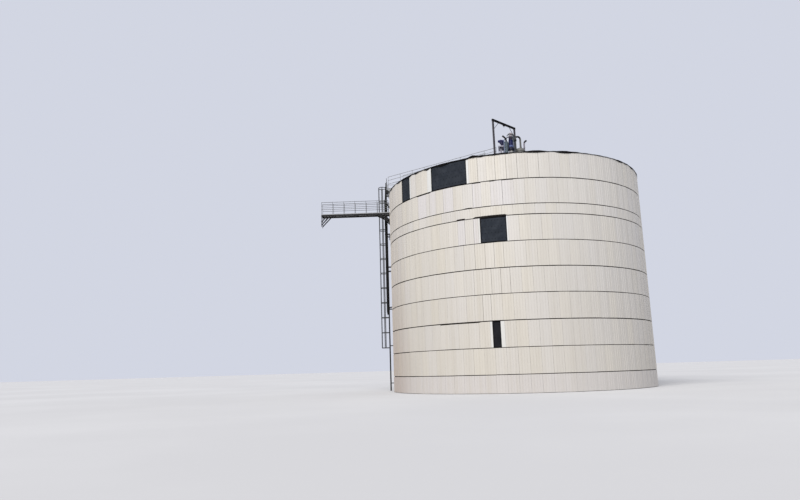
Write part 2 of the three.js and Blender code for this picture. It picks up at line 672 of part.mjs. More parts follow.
// Column with a gooseneck, and the pump unit on legs beside it
piece('centre_column', joined([
  turned([[0, CROWN_TOP + FIT], [COLUMN_FOOT_R, CROWN_TOP + FIT], [COLUMN_FOOT_R, CROWN_TOP + FOOT_T],
    [COLUMN_R, CROWN_TOP + FOOT_T], [COLUMN_R, COLUMN_TOP], [0, COLUMN_TOP]], COLUMN_X, COLUMN_Y, 12),
  pipe(NECK.map(([x, z]) => vec(COLUMN_X + x, COLUMN_Y, COLUMN_TOP + z)), NECK_R, 8, 8),
]), greyGreen);
function pumpUnit() {
  const [x0, x1] = [PUMP_X - PUMP_HALF, PUMP_X + PUMP_HALF];
  const tableLow = TABLE_TOP - TABLE_T;
  const parts = [
    bar(vec(x0, 0, PUMP_AXIS), vec(x1, 0, PUMP_AXIS), PUMP_R, 12),
    bar(vec(THROAT_X, 0, PUMP_AXIS), vec(THROAT_X, 0, tableLow + TABLE_T / 2), THROAT_R, 12),
    box(x0, x1, -TABLE_HALF, TABLE_HALF, tableLow, TABLE_TOP),
    box(x1 - PUMP_BASE, x1, -PUMP_BASE_HALF, PUMP_BASE_HALF, CROWN_TOP + FIT, CROWN_TOP + PUMP_BASE_T),
  ];
  for (const { x, radius, low } of DOSERS) {
    parts.push(bar(vec(x, 0, low), vec(x, 0, tableLow + FOOT_T), radius, 10));
  }
  for (const x of PUMP_LEGS) {
    const half = PUMP_LEG_W / 2;
    parts.push(box(x - half, x + half, -PUMP_LEG_HALF, PUMP_LEG_HALF,
      CROWN_TOP + FOOT_T, tableLow + FOOT_T));
  }
  return joined(parts);
}
piece('pump_unit', pumpUnit(), motorBlue);

// Relief valve housing with its vent, and the gas pipe that loops over into it
piece('valve_housing', joined([
  turned([[0, CROWN_TOP + FIT], [HOUSING_R + FOOT_T, CROWN_TOP + FIT],
    [HOUSING_R + FOOT_T, CROWN_TOP + FOOT_T], [HOUSING_R, CROWN_TOP + FOOT_T], [HOUSING_R, HOUSING_TOP],
    [HOUSING_CROWN_R, HOUSING_CROWN], [0, HOUSING_CREST]], HOUSING_X, HOUSING_Y, 16),
  pipe(VENT.map(([x, z]) => vec(x, HOUSING_Y, z)), VENT_R, 10, 8),
]), greyGreen);
function gasLoop() {
  const route = [[0, CROWN_TOP + FOOT_T / 2], ...LOOP_ROUTE, [1, HOUSING_CREST + FIT]];
  const points = route.map(([share, z]) => vec(THREE.MathUtils.lerp(LOOP_FOOT.x, LOOP_END.x, share),
    THREE.MathUtils.lerp(LOOP_FOOT.y, LOOP_END.y, share), z));
  const half = LOOP_PLATE / 2;
  const plate = box(LOOP_FOOT.x - half, LOOP_FOOT.x + half, LOOP_FOOT.y - half, LOOP_FOOT.y + half,
    CROWN_TOP + FIT, CROWN_TOP + FOOT_T);
  return joined([pipe(points, LOOP_R, 24, 8), plate]);
}
piece('gas_loop_pipe', gasLoop(), galvanised);

// Downcomer: an insulated pipe beside the ladder with a branch into the wall near each end and a tapered foot
function downcomer() {
  const at = (x, z) => vec(x, PIPE_Y, z);
  const parts = [
    turned([[0, PIPE_LOW], [TIP_R, PIPE_LOW], [PIPE_R, PIPE_LOW + TIP_RISE], [PIPE_R, PIPE_TOP],
      [0, PIPE_TOP]], PIPE_X, PIPE_Y, 12),
    bar(at(PIPE_X, PIPE_TOP - PIPE_R), at(PIPE_X + STUB_LEAN, STUB_TOP), STUB_R, 10),
    bar(at(PIPE_X, BRANCH_TOP), at(-CLAD_R + PIPE_R, BRANCH_LOW), BRANCH_R, 10),
    bar(at(PIPE_X, OUTLET_LOW), at(intoWall, OUTLET_HIGH), OUTLET_R, 10),
  ];
  const reach = PIPE_R + CLAMP_T;
  const half = CLAMP_ARM / 2;
  for (const z of CLAMP_HEIGHTS) {
    const [low, high] = [z - CLAMP_H / 2, z + CLAMP_H / 2];
    parts.push(box(PIPE_X - reach, PIPE_X + reach, PIPE_Y - reach, PIPE_Y + reach, low, high));
    parts.push(box(PIPE_X, intoWall, PIPE_Y - half, PIPE_Y + half, z - half, z + half));
  }
  return joined(parts).subtract(tankOutside);
}
piece('downcomer_pipe', downcomer(), pipeBlack);

export default digester;
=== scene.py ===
import random
from math import ceil, cos, degrees, hypot, pi, radians, sin, tan

import bpy
from mathutils import Matrix, Vector


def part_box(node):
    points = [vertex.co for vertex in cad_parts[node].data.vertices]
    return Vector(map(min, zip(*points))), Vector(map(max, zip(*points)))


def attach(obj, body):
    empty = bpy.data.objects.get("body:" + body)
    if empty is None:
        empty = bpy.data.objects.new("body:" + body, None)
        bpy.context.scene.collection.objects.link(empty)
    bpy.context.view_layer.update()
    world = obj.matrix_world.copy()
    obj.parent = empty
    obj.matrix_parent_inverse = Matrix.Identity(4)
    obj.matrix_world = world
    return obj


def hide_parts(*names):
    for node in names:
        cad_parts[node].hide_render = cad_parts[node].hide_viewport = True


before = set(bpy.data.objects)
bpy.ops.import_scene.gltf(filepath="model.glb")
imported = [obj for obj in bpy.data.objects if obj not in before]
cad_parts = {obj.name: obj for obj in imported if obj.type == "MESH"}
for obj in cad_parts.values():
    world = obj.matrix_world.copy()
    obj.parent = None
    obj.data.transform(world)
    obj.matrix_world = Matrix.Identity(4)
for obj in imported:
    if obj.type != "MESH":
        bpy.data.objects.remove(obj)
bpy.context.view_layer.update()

chance = random.Random(22)
UP, ACROSS = Vector((0, 0, 1)), Vector((0, 1, 0))
SIDES = (-1, 1)


def middle(node, axis):
    low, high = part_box(node)
    return (low[axis] + high[axis]) / 2


# Cladding: courses from the ground up, with the width of the open joint above each
COURSES = ["plinth_band"] + [f"cladding_course_{i}" for i in range(1, 7)]
COURSES += ["cladding_band", "cladding_course_7", "cladding_course_8"]
OPENINGS = (0.054, 0.048, 0.07, 0.05, 0.068, 0.052, 0.066, 0.06, 0.07)
CLAD_TOP = 18.38
# On the side of the bridge the joints widen by up to a fifth of this
JOINT_SPREAD, SPREAD_START = 0.05, 0.8

# What is known of single sheets, as bearings in degrees from +X: places without sheets, newer white or lilac
# sheets, wide seams, sheets that sit high, with their lift, and sheets that end low, with their drop
KNOWN = {
    "cladding_course_2": {
        "bare": [(-108.6, -105.5)], "white": [(-109.5, -108.6), (-105.5, -104.0)],
        "low": [(-130.6, -113.6, 0.05)]},
    "cladding_course_3": {"seams": (-118.4, -111.8, -108.6)},
    "cladding_course_4": {"seams": (-114.8, -108.0, -104.4, -100.9)},
    "cladding_course_5": {"seams": (-118.4, -113.9, -109.9, -106.4, -102.8)},
    "cladding_course_6": {
        "bare": [(-111.3, -101.05)], "white": [(-112.0, -111.3), (-101.05, -100.5)],
        "lilac": [(-120.6, -117.5), (-113.9, -112.0)], "seams": (-125.0, -120.6, -117.5, -113.9)},
    "cladding_band": {"high": [(-120.8, -117.3, 0.08), (-113.8, -101.0, 0.08)]},
    "cladding_course_7": {
        "lilac": [(-140.5, -135.6), (-133.6, -130.2), (-126.6, -122.0), (-113.6, -110.2), (-106.4, -101.9),
                  (-101.9, -97.5)],
        "seams": (-133.6, -126.6, -113.6, -106.8, -101.9), "high": [(-117.1, -114.1, 0.04)],
        "low": [(-140.9, -132.6, 0.05), (-113.6, -110.2, 0.035), (-106.6, -105.0, 0.03),
                (-101.9, -97.5, 0.035)]},
    "cladding_course_8": {
        "bare": [(-152.7, -145.95), (-132.3, -115.75)],
        "white": [(-145.95, -145.1), (-134.5, -132.3), (-115.75, -114.8)],
        "seams": (-111.1, -104.2, -99.9, -95.7, -87.4)},
}
WET_COURSE = "cladding_course_2"
WET_BOARD = (0.44, 0.38, 0.37)
SHEET_ARC, BOARD_ARC = 4.2, 2.9
RIB_PITCH, RIB_HEIGHT, RIB_FOOT, RIB_TOP = 0.2, 0.012, 0.022, 0.011
SHEET_T = 0.004
LIP = 0.022

# Rim membrane: its edges, and its folds as bearing, half width in degrees, drop and rise; a third of the rim
# is described, and the other two thirds repeat it
RIM_TOP, RIM_LOW = 18.43, 18.372
RIM_START, RIM_STEPS = -171.0, 720
RIM_FOLDS = (
    (-167.0, 3.6, 0.095, 0.025), (-162.0, 2.5, 0.045, 0.0), (-155.5, 3.2, 0.12, -0.02),
    (-151.5, 3.0, 0.06, -0.04), (-146.5, 3.2, 0.115, -0.02), (-141.0, 2.4, 0.08, 0.0),
    (-138.0, 24.0, 0.045, -0.04), (-134.2, 2.4, 0.11, -0.01), (-126.5, 4.6, 0.13, 0.025),
    (-115.8, 2.2, 0.085, 0.02), (-112.8, 2.8, 0.02, 0.15), (-109.6, 2.4, 0.05, 0.06),
    (-104.5, 5.5, 0.045, 0.035), (-99.5, 4.0, 0.03, 0.04), (-88.5, 6.5, 0.07, 0.075),
    (-76.5, 6.0, 0.1, 0.045), (-71.5, 2.2, 0.02, 0.03))

# Tank and roof
TANK_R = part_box("cladding_course_1")[1].x
WALL_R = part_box("tank_floor")[1].x
# The boards' face, and the face of the black strips that paint shadow around the bare places
BOARD_FACE, SHADOW_STRIP_FACE = WALL_R + 0.024, WALL_R + 0.04
ROOF_SLOPE = tan(radians(13.8))
EAVE = 18.45
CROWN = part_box("roof_crown")[1].z
CROWN_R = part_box("roof_crown")[1].x
ROOF_SEAMS, SEAM_SCREWS = 36, 12
ROOF_LAPS = (4.2, 6.6, 9.0)

# Railings, bridge, rim platform and roof walkway
RAIL_TOPS = (0.49, 0.85, 1.19)
RAIL_R, POST_R = 0.022, 0.017
RAIL_COLLAR = [(0.02, -0.026), (0.028, -0.012), (0.028, 0.012), (0.02, 0.026)]
BRIDGE_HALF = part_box("bridge_frame")[1].y
BRIDGE_LOW = 16.54
BRIDGE_SIDE = 0.365
BRIDGE_BAYS = 6
BOLT_PITCH, BOLT_LINES = 0.96, (0.05, 0.17)
KNEE_BAR = 0.085
KNEE_PLATE_LOW = 15.56
KNEE_BOLTS = (15.62, 15.85, 16.12, 16.36)
END_KNEES = ((15.71, 0.8), (15.99, 0.48))
WALL_KNEES = END_KNEES + ((15.99, 1.12),)
DECK_TOP = 18.95
DECK_STRIP = -11.64
DECK_LEG_X = -11.15
DECK_BRACE_LOW, DECK_DEPTH = 18.52, 0.2
LANDING_NEAR = 0.43
WALK_HALF, WALK_GRATE, WALK_LEG_Y = 0.42, 0.41, 0.395
WALK_LEGS, WALK_TIES = 6, 9
GRATE_PITCH, TIE_PITCH, GRATE_HEIGHT = 0.06, 0.1, 0.03

# Ladder, its cage and the pipe beside it; brackets, clamps and hangers by their heights
LADDER_X = middle("grab_rail_near", 0)
LADDER_Y = (middle("grab_rail_near", 1) + middle("grab_rail_far", 1)) / 2
LADDER_HALF = middle("grab_rail_far", 1) - LADDER_Y
FIRST_RUNG, RUNG_PITCH = 0.34, 0.28
BRACKETS = (0.76, 4.21, 7.66, 11.31, 14.74, 18.01)
LONG_PLATES = (4.21, 14.74, 18.01)
CAGE_LOW, CAGE_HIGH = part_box("ladder_cage_back")
HOOPS, HOOP_HALF = 12, 0.035
CAGE_R = 0.395
CAGE_X = CAGE_LOW.x + 0.4
STRAPS = (90, 104, 150, 180, 210, 256, 270)
PIPE_R = 0.1
PIPE_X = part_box("downcomer_pipe")[0].x + 0.115
PIPE_Y = middle("downcomer_pipe", 1)
PIPE_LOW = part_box("downcomer_pipe")[0].z
PIPE_TOP, STUB_TOP = 18.29, 19.6
PIPE_ARMS = ((18.05, 17.4, 0.075), (7.7, 7.82, 0.055))
PIPE_CLAMPS = ((14.85, 0.6), (11.63, 0.06))
BAND_PITCH = 0.95

# Roof plant
GANTRY_X = middle("gantry_beam", 0)
GANTRY_HALF = 1.725
GANTRY_TURN = Matrix.Translation((GANTRY_X, 0, 0)) @ Matrix.Rotation(radians(45), 4, "Z")
MIXER = Vector((middle("mixer_motor", 0), 0, 0))
GEAR_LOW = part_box("mixer_gearbox")[0].z
MOTOR_LOW, MOTOR_TOP = [corner.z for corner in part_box("mixer_motor")]
COWL_LOW = MOTOR_TOP - 0.53
HOOD_HALF, HOOD_SAG = 0.34, 0.21
COLUMN = Vector((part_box("centre_column")[1].x - 0.2, middle("centre_column", 1), 23.38))
PUMP = Vector((-0.5, 0, 23.6))
TABLE_LOW, TABLE_TOP = 23.0, 23.13
HOUSING = Vector((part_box("valve_housing")[0].x + 0.53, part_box("valve_housing")[0].y + 0.53, 22.49))
HOUSING_R = 0.49
GAS_R = 0.088

# Camera, solved from the photograph, and the light
CAMERA_PLACE = (-9.593, -58.528, 1.95)
CAMERA_PITCH, CAMERA_ROLL, CAMERA_TURN = radians(10.805), radians(-1.684), radians(1.047)
CAMERA_LENS = 28.24
SUN_BEARING, SUN_HEIGHT = -111, radians(42)
FLOOR_REACH = 1500


# Solid shapes, gathered into one mesh for each piece

def circle(radius, count, start=0.0):
    """Points evenly around a circle, from a start given in steps."""
    angles = [2 * pi * (i + start) / count for i in range(count)]
    return [(radius * cos(a), radius * sin(a)) for a in angles]


def corners(across, along):
    """The four corners of a pattern, as offsets from its middle."""
    return [(a, b) for a in (-across, across) for b in (-along, along)]


class Solids:
    """Closed shapes that become one object, with a tint for each face."""

    def __init__(self, tint=(1, 1, 1)):
        self.tint = tint
        self.points, self.faces, self.tints = [], [], []

    def loft(self, rings, tint=None, closed=False):
        """A skin that faces outwards over rings of equal count, with flat ends or closed into a loop."""
        count, origin = len(rings[0]), Vector(rings[0][0])
        points = [Vector(p) - origin for ring in rings for p in ring]
        faces = []
        for r in range(len(rings) if closed else len(rings) - 1):
            here, after = r * count, (r + 1) % len(rings) * count
            for i in range(count):
                j = (i + 1) % count
                faces.append([here + i, here + j, after + j, after + i])
        if not closed:
            last = len(points) - count
            faces += [list(range(count))[::-1], list(range(last, last + count))]
        volume = 0.0
        for first, *rest in faces:
            for b, c in zip(rest, rest[1:]):
                volume += points[first].dot(points[b].cross(points[c]))
        shift = len(self.points)
        self.points += [p + origin for p in points]
        self.faces += [[shift + i for i in (face if volume > 0 else face[::-1])] for face in faces]
        self.tints += [tint or self.tint] * len(faces)

    def box(self, low, high):
        (x0, y0, z0), (x1, y1, z1) = low, high
        self.loft([[(x0, y0, z), (x1, y0, z), (x1, y1, z), (x0, y1, z)] for z in (z0, z1)])

    def block(self, low, high, edge=0.006, turn=None, tint=None):
        """A box with chamfered edges; turn is a matrix put on it afterwards."""
        (left, near, bottom), (right, far, top) = low, high
        rings = []
        for z, inset in ((bottom, edge), (bottom + edge, 0), (top - edge, 0), (top, edge)):
            x0, x1, y0, y1 = left + inset, right - inset, near + inset, far - inset
            ring = [(x0 + edge, y0), (x1 - edge, y0), (x1, y0 + edge), (x1, y1 - edge),
                    (x1 - edge, y1), (x0 + edge, y1), (x0, y1 - edge), (x0, y0 + edge)]
            ring = [Vector((x, y, z)) for x, y in ring]
            rings.append([turn @ p for p in ring] if turn else ring)
        self.loft(rings, tint)

    def sweep(self, path, outline, up=UP, tint=None):
        """An outline of (across, up) points carried along a path."""
        path, up = [Vector(p) for p in path], Vector(up)
        rings = []
        for i, point in enumerate(path):
            ahead = (path[min(i + 1, len(path) - 1)] - path[max(i - 1, 0)]).normalized()
            across = ahead.cross(up)
            if across.length < 0.05:
                across = ahead.cross(Vector((1, 0, 0)))
            across.normalize()
            over = across.cross(ahead)
            rings.append([point + across * a + over * b for a, b in outline])
        self.loft(rings, tint)

    def tube(self, path, radius, sides=10, up=UP, tint=None):
        self.sweep(path, circle(radius, sides), up, tint)

    def bar(self, start, end, width, height, up=UP):
        w, h = width / 2, height / 2
        self.sweep([start, end], [(-w, -h), (w, -h), (w, h), (-w, h)], up)

    def turned(self, profile, centre, sides=24, axis=UP, tint=None):
        """A round piece from (radius, height) points, about an axis through its centre."""
        turn, centre = UP.rotation_difference(Vector(axis)).to_matrix(), Vector(centre)
        rings = [[turn @ Vector((x, y, height)) + centre for x, y in circle(radius, sides)]
                 for radius, height in profile]
        self.loft(rings, tint)

    def collar(self, centre, inner, outer, height, bevel, sides=20, axis=UP, tint=None):
        """A ring with bevelled edges around a pipe or drum, up from its centre."""
        profile = [(inner, 0), (outer, bevel), (outer, height - bevel), (inner, height)]
        self.turned(profile, centre, sides, axis, tint)

    def bolt(self, place, axis=UP, size=0.012):
        """A hexagon head on a washer, with its seat at the given place."""
        self.turned([(size * 1.5, 0), (size * 1.5, size * 0.3)], place, 10, axis)
        self.turned([(size, size * 0.3), (size, size), (size * 0.85, size * 1.2)], place, 6, axis)

    def bolt_ring(self, centre, radius, count, axis=UP, size=0.014):
        for x, y in circle(radius, count, 0.5):
            self.bolt(Vector(centre) + Vector((x, y, 0)), axis, size)

    def ribs(self, centre, radius, count, low, high, width, depth, start=0.0):
        """Upright bars around a drum, between two heights above its centre."""
        for x, y in circle(radius, count, start):
            foot = centre + Vector((x, y, 0))
            self.bar(foot + UP * low, foot + UP * high, width, depth, (x, y, 0))

    def flange(self, place, inner, outer):
        """A pair of flange rings with bolts through the upper one."""
        for lift in (0, 0.028):
            self.collar(Vector(place) + UP * lift, inner, outer, 0.024, 0.002)
        self.bolt_ring(Vector(place) + UP * 0.052, (inner + outer) / 2, 8, size=0.008)


def link(name, data):
    piece = bpy.data.objects.new(name, data)
    bpy.context.scene.collection.objects.link(piece)
    return piece


def make(name, solids, material, nodes=(), smooth=35):
    """Turns the gathered solids into an object that rides on the part and stands for CAD nodes."""
    mesh = bpy.data.meshes.new(name)
    mesh.from_pydata([tuple(p) for p in solids.points], [], solids.faces)
    tint = mesh.attributes.new("Tint", "FLOAT_COLOR", "CORNER")
    values = []
    for face, colour in zip(solids.faces, solids.tints):
        values.extend((*colour, 1.0) * len(face))
    tint.data.foreach_set("color", values)
    mesh.polygons.foreach_set("use_smooth", [True] * len(mesh.polygons))
    mesh.set_sharp_from_angle(angle=radians(smooth))
    mesh.materials.append(material)
    piece = link(name, mesh)
    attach(piece, "root")
    if nodes:
        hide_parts(*nodes)


# Materials

class Shader:
    """One node material around a Principled shader, in the object's own coordinates."""

    def __init__(self, name, roughness, metallic=0.0, shine=0.5):
        self.material = bpy.data.materials.new(name)
        self.material.use_nodes = True
        self.nodes, self.links = self.material.node_tree.nodes, self.material.node_tree.links
        self.surface = self.nodes["Principled BSDF"].inputs
        self.surface["Roughness"].default_value = roughness
        self.surface["Metallic"].default_value = metallic
        self.surface["Specular IOR Level"].default_value = shine
        self.place = self.nodes.new("ShaderNodeTexCoord").outputs["Object"]

    def node(self, kind, output, inputs, **settings):
        """A node's output, after its inputs get numbers, vectors, colours or the outputs of other nodes."""
        node = self.nodes.new("ShaderNode" + kind)
        for name, value in settings.items():
            setattr(node, name, value)
        for name, value in inputs.items():
            socket = node.inputs[name]
            if isinstance(value, bpy.types.NodeSocket):
                self.links.new(value, socket)
            elif isinstance(value, (int, float)):
                socket.default_value = value
            else:
                socket.default_value = (*value, 1.0)[:len(socket.default_value)]
        return node.outputs[output]

    def noise(self, scale, detail=3.0, stretch=(1, 1, 1), rough=0.55):
        place = self.node("Mapping", "Vector", {"Vector": self.place, "Scale": stretch})
        inputs = {"Vector": place, "Scale": scale, "Detail": detail, "Roughness": rough}
        return self.node("TexNoise", "Fac", inputs)

    def cells(self, scale):
        return self.node("TexVoronoi", "Color", {"Vector": self.place, "Scale": scale})

    def along(self, axis):
        return self.node("SeparateXYZ", axis, {"Vector": self.place})

    def spread(self, value, low, high, to_low=0.0, to_high=1.0):
        """A smooth step between two results while the value goes from low to high."""
        inputs = {"Value": value, "From Min": low, "From Max": high, "To Min": to_low, "To Max": to_high}
        return self.node("MapRange", "Result", inputs, interpolation_type="SMOOTHSTEP")

    def times(self, a, b):
        return self.node("Math", "Value", {0: a, 1: b}, operation="MULTIPLY")

    def mix(self, factor, a, b, blend="MIX"):
        """A mix of colours; the node's inputs 0, 6 and 7 are its factor and its two colours."""
        return self.node("Mix", 2, {0: factor, 6: a, 7: b}, data_type="RGBA", blend_type=blend)

    def stain(self, base, colour, pattern, low, high, amount):
        """A colour laid over a base, more where a pattern is high."""
        return self.mix(self.spread(pattern, low, high, 0.0, amount), base, colour)

    def tinted(self, colour):
        tint = self.node("Attribute", "Color", {}, attribute_name="Tint")
        return self.mix(1.0, tint, colour, "MULTIPLY")

    def mottled(self, scale, dark, light, detail=4.0, stretch=(1, 1, 1)):
        return self.stain(dark, light, self.noise(scale, detail, stretch), 0.35, 0.72, 1.0)

    def colour(self, value):
        self.links.new(value, self.surface["Base Color"])

    def roughness(self, scale, low, high):
        self.links.new(self.spread(self.noise(scale), 0.3, 0.7, low, high), self.surface["Roughness"])

    def bump(self, height, distance, strength=0.5):
        inputs = {"Height": height, "Distance": distance, "Strength": strength}
        self.links.new(self.node("Bump", "Normal", inputs), self.surface["Normal"])


def cladding_paint():
    """Coated sheet: a tint for each sheet, upright streaks and runs, painted shade low down and towards the
    next tank, where the ground and that tank keep light off, and a paler side away from it."""
    s = Shader("cladding_paint", 0.5, shine=0.3)
    base = s.tinted((0.383, 0.366, 0.337))
    base = s.stain(base, (0.31, 0.288, 0.25), s.noise(3.2, 4, (1, 1, 0.035)), 0.42, 0.72, 0.4)
    base = s.stain(base, (0.40, 0.39, 0.385), s.noise(1.7, 3, (1, 1, 0.05), 0.6), 0.5, 0.75, 0.3)
    base = s.stain(base, (0.385, 0.385, 0.392), s.along("X"), -4.0, 4.0, 0.3)
    base = s.stain(base, (0.19, 0.165, 0.13), s.noise(9.0, 5, (1, 1, 0.16), 0.7), 0.6, 0.82, 0.16)
    # Painted shade: darker towards the bottom all round, where the ground keeps light off
    base = s.mix(s.spread(s.along("Z"), 0.5, 17.0, 0.32, 0.0), base, (0.29, 0.268, 0.233))
    # Painted shade: a brown darkening towards -X and low down, where the next tank keeps the sky off
    for reach, amount, height, left in ((-9.6, 0.32, 20.0, 0.35), (-8.5, 0.2, 12.0, 0.0)):
        side = s.spread(s.along("X"), -11.6, reach, amount, 0.0)
        shade_low_down = s.spread(s.along("Z"), 0.0, height, 1.0, left)
        base = s.mix(s.times(side, shade_low_down), base, (0.215, 0.15, 0.108))
    s.colour(base)
    s.roughness(2.0, 0.42, 0.6)
    s.bump(s.noise(1.3, 2, (1, 1, 0.5)), 0.02, 0.35)
    return s.material


def insulation_board():
    """Dark slate boards with mottling and a fine grain."""
    s = Shader("insulation_board", 0.9, shine=0.1)
    base = s.tinted(s.mottled(2.2, (0.0125, 0.0155, 0.021), (0.019, 0.0225, 0.029)))
    s.colour(s.stain(base, (0.033, 0.036, 0.041), s.noise(40, 3), 0.55, 0.8, 0.3))
    s.bump(s.noise(55, 4), 0.004, 0.5)
    return s.material


def wall_foam():
    """The shell's insulation behind the sheets, which shows only in the joints."""
    s = Shader("wall_foam", 0.9, shine=0.1)
    s.colour(s.mottled(3.0, (0.016, 0.014, 0.012), (0.035, 0.03, 0.026)))
    s.bump(s.noise(30, 4), 0.006, 0.5)
    return s.material


def black_membrane():
    s = Shader("black_membrane", 0.75, shine=0.02)
    s.colour(s.mottled(5, (0.002, 0.002, 0.0024), (0.008, 0.0076, 0.0076), 5))
    s.roughness(12, 0.6, 0.85)
    s.bump(s.noise(14, 4, (1, 1, 0.6)), 0.015, 0.7)
    return s.material


def roof_felt():
    """Dark mineral felt with dust that has gathered in broad patches."""
    s = Shader("roof_felt", 0.85, shine=0.2)
    base = s.mottled(0.6, (0.016, 0.016, 0.0175), (0.042, 0.039, 0.036), 5)
    s.colour(s.stain(base, (0.07, 0.067, 0.063), s.noise(90, 2), 0.5, 0.75, 0.4))
    s.bump(s.noise(120, 3), 0.003, 0.6)
    return s.material


def dark_steel():
    """Black paint with spots of rust."""
    s = Shader("dark_steel_paint", 0.65, shine=0.12)
    rust = s.noise(18, 6, (1, 1, 0.5), 0.7)
    base = s.mottled(6, (0.004, 0.004, 0.005), (0.010, 0.010, 0.012))
    s.colour(s.stain(base, (0.04, 0.02, 0.01), rust, 0.62, 0.78, 0.5))
    s.roughness(14, 0.5, 0.7)
    s.bump(s.noise(60, 3), 0.001, 0.4)
    return s.material


def galvanised(name, shade=1.0):
    """Zinc spangle with dull patches; a low shade makes it darker."""
    s = Shader(name, 0.5, 0.35, 0.4 * shade)
    dark, light = Vector((0.13, 0.137, 0.147)) * shade, Vector((0.21, 0.217, 0.225)) * shade
    base = s.mix(s.spread(s.cells(55), 0.0, 1.0), dark, light)
    s.colour(s.stain(base, Vector((0.11, 0.112, 0.115)) * shade, s.noise(3.5, 5), 0.42, 0.7, 0.5))
    s.roughness(9, 0.4, 0.65)
    s.bump(s.noise(80, 2), 0.0008, 0.3)
    return s.material


def machine_paint(name, dark, light, tinted=True):
    """Enamel with a little dust; the tints of a piece's faces colour it."""
    s = Shader(name, 0.5, shine=0.2)
    base = s.mottled(5, dark, light)
    if tinted:
        base = s.tinted(base)
    s.colour(s.stain(base, (0.1, 0.095, 0.09), s.noise(22, 5, (1, 1, 0.5), 0.65), 0.55, 0.8, 0.12))
    s.roughness(16, 0.42, 0.68)
    s.bump(s.noise(70, 3), 0.0008, 0.35)
    return s.material


def pipe_jacket():
    s = Shader("pipe_jacket", 0.7, shine=0.1)
    s.colour(s.mottled(7, (0.004, 0.004, 0.0045), (0.011, 0.0105, 0.010), 5, (1, 1, 0.4)))
    s.bump(s.noise(18, 4), 0.006, 0.5)
    return s.material


def cast_concrete():
    s = Shader("cast_concrete", 0.9)
    base = s.mottled(1.2, (0.16, 0.153, 0.143), (0.24, 0.233, 0.22), 6)
    s.colour(s.stain(base, (0.11, 0.105, 0.1), s.noise(35, 4), 0.6, 0.8, 0.5))
    s.bump(s.noise(45, 5), 0.004, 0.6)
    return s.material


SHEET = cladding_paint()
BOARD = insulation_board()
FOAM = wall_foam()
MEMBRANE = black_membrane()
FELT = roof_felt()
STEEL = dark_steel()
ZINC = galvanised("galvanised_steel")
OLD_ZINC = galvanised("old_galvanised_steel", 0.3)
RAIL_ZINC = galvanised("dull_galvanised_steel", 0.5)
DARK_ZINC = galvanised("dark_galvanised_steel", 0.12)
GANTRY = machine_paint("gantry_grey_paint", (0.034, 0.032, 0.038), (0.048, 0.046, 0.054), tinted=False)
GREY = machine_paint("grey_green_paint", (0.041, 0.058, 0.074), (0.055, 0.074, 0.091))
STONE = machine_paint("neutral_grey_paint", (0.11, 0.112, 0.108), (0.15, 0.15, 0.145))
JACKET = pipe_jacket()
CONCRETE = cast_concrete()

# The drives' paint takes its whole colour from the tint of each piece
DRIVE = machine_paint("drive_paint", (0.8, 0.8, 0.8), (1.1, 1.1, 1.1))
MOTOR_BLUE = (0.008, 0.012, 0.068)
# Painted highlight: pale blue for the lit flange between gearbox and motor
BLUE_PAINTED_HIGHLIGHT = (0.075, 0.1, 0.22)
DEEP_NAVY = (0.003, 0.004, 0.018)
VIOLET_GREY = (0.026, 0.022, 0.036)
PUMP_VIOLET = (0.021, 0.023, 0.1)
LAVENDER = (0.24, 0.24, 0.29)
ROSE_GREY = (0.2, 0.175, 0.185)
DUCT_DARK = (0.036, 0.047, 0.058)
DUCT_LIGHT = (0.09, 0.1, 0.13)
BOX_NAVY = (0.011, 0.015, 0.032)


def on_tank(radius, bearing, height=0.0):
    a = radians(bearing)
    return Vector((radius * cos(a), radius * sin(a), height))


def upright(bearing, outline):
    """An outline of (radius, height) points, stood up at a bearing."""
    return [on_tank(radius, bearing, height) for radius, height in outline]


def wall_x(y):
    """The place of the tank's side towards the bridge at a given Y."""
    return -(TANK_R ** 2 - y ** 2) ** 0.5


# Cladding sheets

def known(course, what):
    return KNOWN.get(course, {}).get(what, ())


def course_span(course):
    """Lower and upper edge of a course: the CAD's joints with their openings, and the ground and the rim."""
    i = COURSES.index(course)
    low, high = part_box(course)[0].z, CLAD_TOP
    if i:
        low = (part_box(COURSES[i - 1])[1].z + low + OPENINGS[i - 1]) / 2
    if i < len(OPENINGS):
        high = (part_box(course)[1].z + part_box(COURSES[i + 1])[0].z - OPENINGS[i]) / 2
    return low, high


def sheet_stretches(course):
    """The sheets of a course as (from, to, kind): known strips and gaps first, the rest shared out evenly."""
    fixed = sorted((a, b, kind) for kind in ("bare", "white", "lilac") for a, b in known(course, kind))
    cuts = known(course, "seams")
    if fixed:
        starts = [f[1] for f in fixed]
        ends = [f[0] for f in fixed[1:]] + [fixed[0][0] + 360]
    else:
        first = cuts[0] if cuts else chance.uniform(-180, -175)
        starts, ends = [first], [first + 360]
    sheets = [f for f in fixed if f[2] != "bare"]
    for a, b in zip(starts, ends):
        if b - a < 0.2:
            continue
        marks = [a] + [c for c in cuts if a + 0.5 < c < b - 0.5] + [b]
        for low, high in zip(marks, marks[1:]):
            count = max(1, round((high - low) / SHEET_ARC))
            step = (high - low) / count
            sheets += [(low + step * k, low + step * (k + 1), "plain") for k in range(count)]
    return sheets


def sheet_tint(kind, plinth):
    value = chance.uniform(0.97, 1.025)
    if plinth:
        return (value * 0.98, value * 0.985, value * 1.07)
    if kind == "white":
        return (1.12, 1.19, 1.28)
    if kind == "lilac":
        return (value, value * 1.01, value * 1.09)
    warm = chance.choice((0.0, 0.0, 0.01, 0.02, -0.012, -0.02))
    return (value * (1 + warm * 0.4), value, value * (1 - warm * 1.5))


